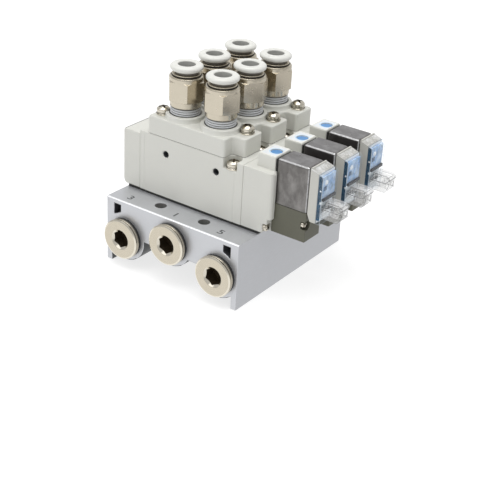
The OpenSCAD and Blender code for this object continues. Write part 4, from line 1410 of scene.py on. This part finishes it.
@dataclass
class Connector:
    """The plug connector of each pilot: housing, clear front with its lamp, clear plug."""

    half: float = 4.8
    window_x0: float = 50.3
    window_x1: float = 52.0
    backing_z: tuple[float, float] = (36.2, 53.5)
    board_z: tuple[float, float] = (44.9, 52.7)
    strip_z: tuple[float, float] = (37.2, 53.2)
    lamp_z: float = 48.1
    notch_z: float = 43.8
    bar_z: float = 44.4
    ridge_x: float = 46.9
    ridge_z: float = 55.0
    lens_y: float = -1.6
    lens_up: float = 2.3
    front_slope: float = 0.8

    def strip_pattern(self) -> Workpiece:
        """The board's edge that shows through the side of the clear front.

        Returns:
            The pattern, dressed.
        """
        x0, x1, (z0, z1) = self.window_x0, self.window_x1, self.strip_z
        strip = Workpiece.block("strip_pattern", (x0 + 0.1, -self.half + 0.12, z0),
                                (x1 - 0.35, -self.half + 0.5, z1))
        strip.pick(Pick.EDGES, lambda c, d: abs(d.y) > ALONG).bevel(0.3, 2)
        return strip.smooth(30).paint(STRIP_BLUE)

    def notch_pattern(self) -> Workpiece:
        """The white catch that shows at the front of the strip.

        Returns:
            The pattern, dressed.
        """
        x, y, z = self.window_x1, -self.half, self.notch_z
        notch = Workpiece.block("notch_pattern", (x - 0.75, y + 0.1, z - 0.5),
                                (x - 0.12, y + 1.2, z + 0.45))
        notch.pick(Pick.EDGES, lambda c, d: True).bevel(0.12, 2)
        return notch.smooth(30).paint(LAMP_WHITE)

    def backing_pattern(self) -> Workpiece:
        """The white plate behind the clear front.

        Returns:
            The pattern, dressed.
        """
        x, (z0, z1) = self.window_x0, self.backing_z
        backing = Workpiece.block("backing_pattern", (x + 0.03, -self.half + 0.55, z0),
                                  (x + 0.2, self.half - 0.1, z1))
        return backing.smooth(30).paint(LAMP_WHITE)

    def board_pattern(self) -> Workpiece:
        """The light guide behind the clear front, with a stepped face.

        Returns:
            The pattern, dressed.
        """
        x, (z0, z1) = self.window_x0, self.board_z
        board = Workpiece.block("board_pattern", (x + 0.2, -self.half + 0.75, z0),
                                (x + 1.1, self.half - 0.4, z1))
        board.pick(Pick.FACES, lambda c, n: n.x > ALONG).inset(0.8, 0.12)
        board.leave()
        board.ease(0.15, steps=2, angle=30)
        return board.smooth(30).paint(BOARD_BLUE)

    def spot_pattern(self) -> Workpiece:
        """The dark chip in the light guide.

        Returns:
            The pattern, dressed.
        """
        x, z = self.window_x0 + 1.0, self.lamp_z
        spot = Workpiece.block("spot_pattern", (x, -3.2, z - 0.5), (x + 0.45, -1.4, z + 1.1))
        spot.pick(Pick.EDGES, lambda c, d: True).bevel(0.22, 3)
        return spot.smooth(30).paint(CHIP_BLUE)

    def lamp_pattern(self) -> Workpiece:
        """A small round lamp.

        Returns:
            The pattern, dressed.
        """
        lamp = Workpiece.turned("lamp_pattern", [
            (0, 0), (0.34, 0), (0.34, 0.1), (0.26, 0.2), (0, 0.22)], steps=24)
        return lamp.smooth(50).paint(LAMP_WHITE)

    def lens_pattern(self) -> Workpiece:
        """The pale lens over the chip.

        Returns:
            The pattern, dressed.
        """
        lens = Workpiece.turned("lens_pattern", [
            (0, 0), (0.95, 0), (0.92, 0.2), (0.7, 0.42), (0.35, 0.52), (0, 0.54)], steps=32)
        return lens.smooth(50).paint(LAMP_WHITE)

    def bar_pattern(self) -> Workpiece:
        """A dark bar across the clear front: painted shadow of the gap between the front and the
        plug.

        Returns:
            The pattern, dressed.
        """
        # A dark bar put where the gap between the clear front and the plug lies in shadow: painted
        # shade.
        bar = Workpiece.block("bar_pattern", (self.window_x0 + 0.5, -2.9, self.bar_z - 0.6),
                              (self.window_x1 - 0.03, self.half - 0.4, self.bar_z + 0.6))
        bar.pick(Pick.EDGES, lambda c, d: abs(d.y) > ALONG and c.x > self.window_x1 - 0.1)
        bar.bevel(0.25, 3)
        return bar.smooth(30).paint(GAP_SHADOW_BAR)

    def ridge_pattern(self) -> Workpiece:
        """The thin ridge on the top of the housing, against the cover.

        Returns:
            The pattern, dressed.
        """
        x, z = self.ridge_x, self.ridge_z
        ridge = Workpiece.block("ridge_pattern", (x, -self.half + 0.4, z - 0.4),
                                (x + 0.6, self.half - 0.4, z + 0.22))
        ridge.pick(Pick.EDGES, lambda c, d: c.z > z).bevel(0.15, 2)
        return ridge.smooth(30).paint(OFF_WHITE)

    def build_mouldings(self, station: int) -> None:
        """Housing, clear front and clear plug of one connector.

        Args:
            station: The station's number.
        """
        for part, suffix, width, finish, edge, slot in (
                ("connector_housing", "moulding", 0.25, OFF_WHITE, OFF_WHITE, "housing_moulding"),
                ("clear_window", "clear", 0.16, CLEAR_BLUE, WINDOW_RIM_REFLECTION, "clear_blue_plastic"),
                ("lead_plug", "clear", 0.15, CLEAR, CLEAR_OUTLINE_REFLECTION, "clear_plastic")):
            node = f"{part}_{station}"
            piece = Workpiece.copy_of(node, f"{node}_{suffix}").paint(finish)
            if part == "clear_window":
                piece.pick(Pick.EDGES, lambda c, d: abs(d.y) > ALONG and c.x > self.window_x1 - 0.1
                           and c.z > self.strip_z[1] - 0.2).bevel(self.front_slope, 3)
            # On the clear parts the roundings' finish is a painted reflection that outlines the
            # edges.
            # The edges' finish goes in second and takes no face yet: the rounding takes it.
            piece.paint_faces(edge, lambda c, n: False)
            piece.ease(width, steps=2, angle=40, finish=1).smooth()
            if part == "connector_housing":
                piece.paint_faces(FROSTED, lambda c, n: n.z > 0.2 and c.z > self.strip_z[1])
            piece.deliver(FIXED, slot, node)

    def build(self) -> None:
        """Build the three connectors."""
        patterns = ((self.strip_pattern(), "indicator_strip", "dark_steel"),
                    (self.notch_pattern(), "strip_catch", "white_plastic"),
                    (self.backing_pattern(), "window_backing", "white_plastic"),
                    (self.board_pattern(), "light_guide", "clear_blue_plastic"),
                    (self.spot_pattern(), "lamp_chip", "dark_steel"),
                    (self.bar_pattern(), "gap_shadow_bar", "dark_steel"),
                    (self.ridge_pattern(), "housing_ridge", "housing_moulding"))
        lamp, lens = self.lamp_pattern(), self.lens_pattern()
        for station in STATIONS:
            y = station_y(station)
            self.build_mouldings(station)
            for pattern, name, slot in patterns:
                pattern.copy(f"{name}_{station}", (0, y, 0)).deliver(FIXED, slot)
            place = (self.window_x1 - 0.7, y - self.half + 0.24, self.lamp_z)
            lamp.copy(f"lamp_{station}", place, Axis.FRONT).deliver(FIXED, "white_plastic")
            place = (self.window_x0 + 1.0, y + self.lens_y, self.lamp_z + self.lens_up)
            lens.copy(f"lens_{station}", place, Axis.RIGHT).deliver(FIXED, "white_plastic")
        lamp.scrap()
        lens.scrap()
        for pattern, _, _ in patterns:
            pattern.scrap()


def dress(node: str, finish: Finish) -> None:
    """Give a CAD node that stays its finish.

    Args:
        node: The node's name.
        finish: The finish.
    """
    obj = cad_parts[node]
    if not obj.material_slots:
        obj.data.materials.append(finish.material())
    for slot in obj.material_slots:
        slot.material = finish.material()
    LOG.info("%s: %s", node, finish.name)


@dataclass(frozen=True)
class SoftLight:
    """One square soft box that looks at the object's middle."""

    name: str
    azimuth: float
    elevation: float
    distance: float
    size: float
    power: float
    colour: tuple[float, float, float] = (1.0, 1.0, 1.0)

    def build(self, target: Vector) -> None:
        """Hang the light.

        Args:
            target: The point it looks at, in metres.
        """
        light = bpy.data.lights.new(self.name, "AREA")
        light.energy, light.size, light.color = self.power, self.size, self.colour
        obj = bpy.data.objects.new(self.name, light)
        bpy.context.scene.collection.objects.link(obj)
        way = heading(self.azimuth, self.elevation)
        obj.location = target + way * self.distance
        obj.rotation_euler = way.to_track_quat("Z", "Y").to_euler()


@dataclass
class Studio:
    """White studio: camera at the photograph's place, tent light, soft boxes and a pale floor."""

    place: tuple[float, float, float] = (0.21777, -0.31010, 0.20415)
    azimuth: float = 33.68
    elevation: float = 28.31
    roll: float = 3.535
    focal_pixels: float = 1117.18
    frame_pixels: float = 500.0
    sensor: float = 36.0
    behind: tuple[float, float, float] = (-0.50, 0.75, 0.42)
    rightward: tuple[float, float, float] = (0.8, 0.5, 0.0)
    down: tuple[float, float, float] = (0.0, 0.0, -1.0)
    tent: float = 0.62
    tent_behind: float = 0.78
    table: float = 1.2
    table_right: float = 0.84
    floor_size: float = 3.0

    def build_camera(self) -> None:
        """The camera, at the place and angle fitted to the photograph."""
        back = heading(self.azimuth - 90, self.elevation)
        right = heading(self.azimuth, 0.0)
        roll = math.radians(self.roll)
        up = back.cross(right)
        across = right * math.cos(roll) + up * math.sin(roll)
        upward = up * math.cos(roll) - right * math.sin(roll)
        data = bpy.data.cameras.new("camera")
        data.sensor_width = self.sensor
        data.lens = self.focal_pixels / self.frame_pixels * self.sensor
        data.clip_start, data.clip_end = 0.01, 20.0
        camera = bpy.data.objects.new("camera", data)
        bpy.context.scene.collection.objects.link(camera)
        turn = Matrix((across, upward, back)).transposed().to_4x4()
        camera.matrix_world = Matrix.Translation(self.place) @ turn
        bpy.context.scene.camera = camera

    def build_tent(self) -> None:
        """World light: a grey tent, lighter behind the object, over a bright table.

        The table is duller toward the right, and the camera sees plain white everywhere.
        """
        world = bpy.data.worlds.new("tent")
        world.use_nodes = True
        bpy.context.scene.world = world
        tree = world.node_tree
        tree.nodes.clear()

        def add(kind: str, **settings: object) -> bpy.types.Node:
            """Add a node to the world's sheet.

            Args:
                kind: The node's type.
                **settings: Its settings.

            Returns:
                The node.
            """
            node = tree.nodes.new(kind)
            for key, value in settings.items():
                setattr(node, key, value)
            return node

        way = add("ShaderNodeTexCoord").outputs["Generated"]

        def fade(toward: Point, start: float, end: float) -> bpy.types.NodeSocket:
            """Rise softly from 0 to 1 as the ray turns toward a direction.

            Args:
                toward: The direction.
                start: Cosine of the angle at which the rise starts.
                end: Cosine of the angle at which it ends.

            Returns:
                The result's socket.
            """
            dot = add("ShaderNodeVectorMath", operation="DOT_PRODUCT")
            dot.inputs[1].default_value = Vector(toward).normalized()
            tree.links.new(way, dot.inputs[0])
            ramp = add("ShaderNodeMapRange", interpolation_type="SMOOTHSTEP")
            ramp.inputs["From Min"].default_value = start
            ramp.inputs["From Max"].default_value = end
            tree.links.new(dot.outputs["Value"], ramp.inputs["Value"])
            return ramp.outputs["Result"]

        def blend(factor: bpy.types.NodeSocket, low: float | bpy.types.NodeSocket,
                  high: float | bpy.types.NodeSocket) -> bpy.types.NodeSocket:
            """Blend two greys, or two sockets, by a factor.

            Args:
                factor: The factor.
                low: Grey or socket at 0.
                high: Grey or socket at 1.

            Returns:
                The colour's socket.
            """
            mix = add("ShaderNodeMix", data_type="RGBA")
            tree.links.new(factor, mix.inputs[MIX_FACTOR])
            for place, value in ((MIX_LOW, low), (MIX_HIGH, high)):
                if isinstance(value, float):
                    mix.inputs[place].default_value = (value, value, value, 1)
                else:
                    tree.links.new(value, mix.inputs[place])
            return mix.outputs[MIX_RESULT]

        walls = blend(fade(self.behind, 0.25, 0.85), self.tent, self.tent_behind)
        table = blend(fade(self.rightward, -0.35, 0.6), self.table, self.table_right)
        mixed = blend(fade(self.down, 0.02, 0.22), walls, table)
        lit, plain = add("ShaderNodeBackground"), add("ShaderNodeBackground")
        tree.links.new(mixed, lit.inputs["Color"])
        plain.inputs["Color"].default_value = (1, 1, 1, 1)
        choose, output = add("ShaderNodeMixShader"), add("ShaderNodeOutputWorld")
        tree.links.new(add("ShaderNodeLightPath").outputs["Is Camera Ray"], choose.inputs[0])
        tree.links.new(lit.outputs[0], choose.inputs[1])
        tree.links.new(plain.outputs[0], choose.inputs[2])
        tree.links.new(choose.outputs[0], output.inputs["Surface"])

    def build_floor(self) -> None:
        """A plain pale floor under the bar's feet."""
        clear_selection()
        bpy.ops.mesh.primitive_plane_add(size=self.floor_size, location=(0, 0, -0.00005))
        floor = bpy.context.object
        floor.name = "floor"
        sheet = NodeSheet("pale floor")
        sheet.set(Base_Color=(0.35, 0.35, 0.35, 1), Roughness=0.9, Emission_Color=(1, 1, 1, 1),
                  Emission_Strength=0.74)
        floor.data.materials.append(sheet.material)
        floor.visible_diffuse = floor.visible_glossy = False

    def build(self) -> None:
        """Set up the whole studio."""
        self.build_camera()
        self.build_tent()
        self.build_floor()
        target = Vector((0.01, 0.0, 0.035))
        key = SoftLight("key", azimuth=-118, elevation=50, distance=0.9, size=0.7, power=1.35)
        top = SoftLight("top", azimuth=-60, elevation=82, distance=0.9, size=0.6, power=4.2)
        for light in (key, top):
            light.build(target)
        bpy.context.scene.view_settings.view_transform = "Standard"


def main() -> None:
    """Build the studio and every sub-assembly."""
    logging.basicConfig(level=logging.INFO, format="%(name)s: %(message)s")
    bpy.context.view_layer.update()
    Studio().build()
    for part in (ManifoldBar(), ValveHousing(), PushInFittings(), PilotUnit(), Connector()):
        LOG.info("building %s", type(part).__name__)
        part.build()


if __name__ == "__main__":
    main()
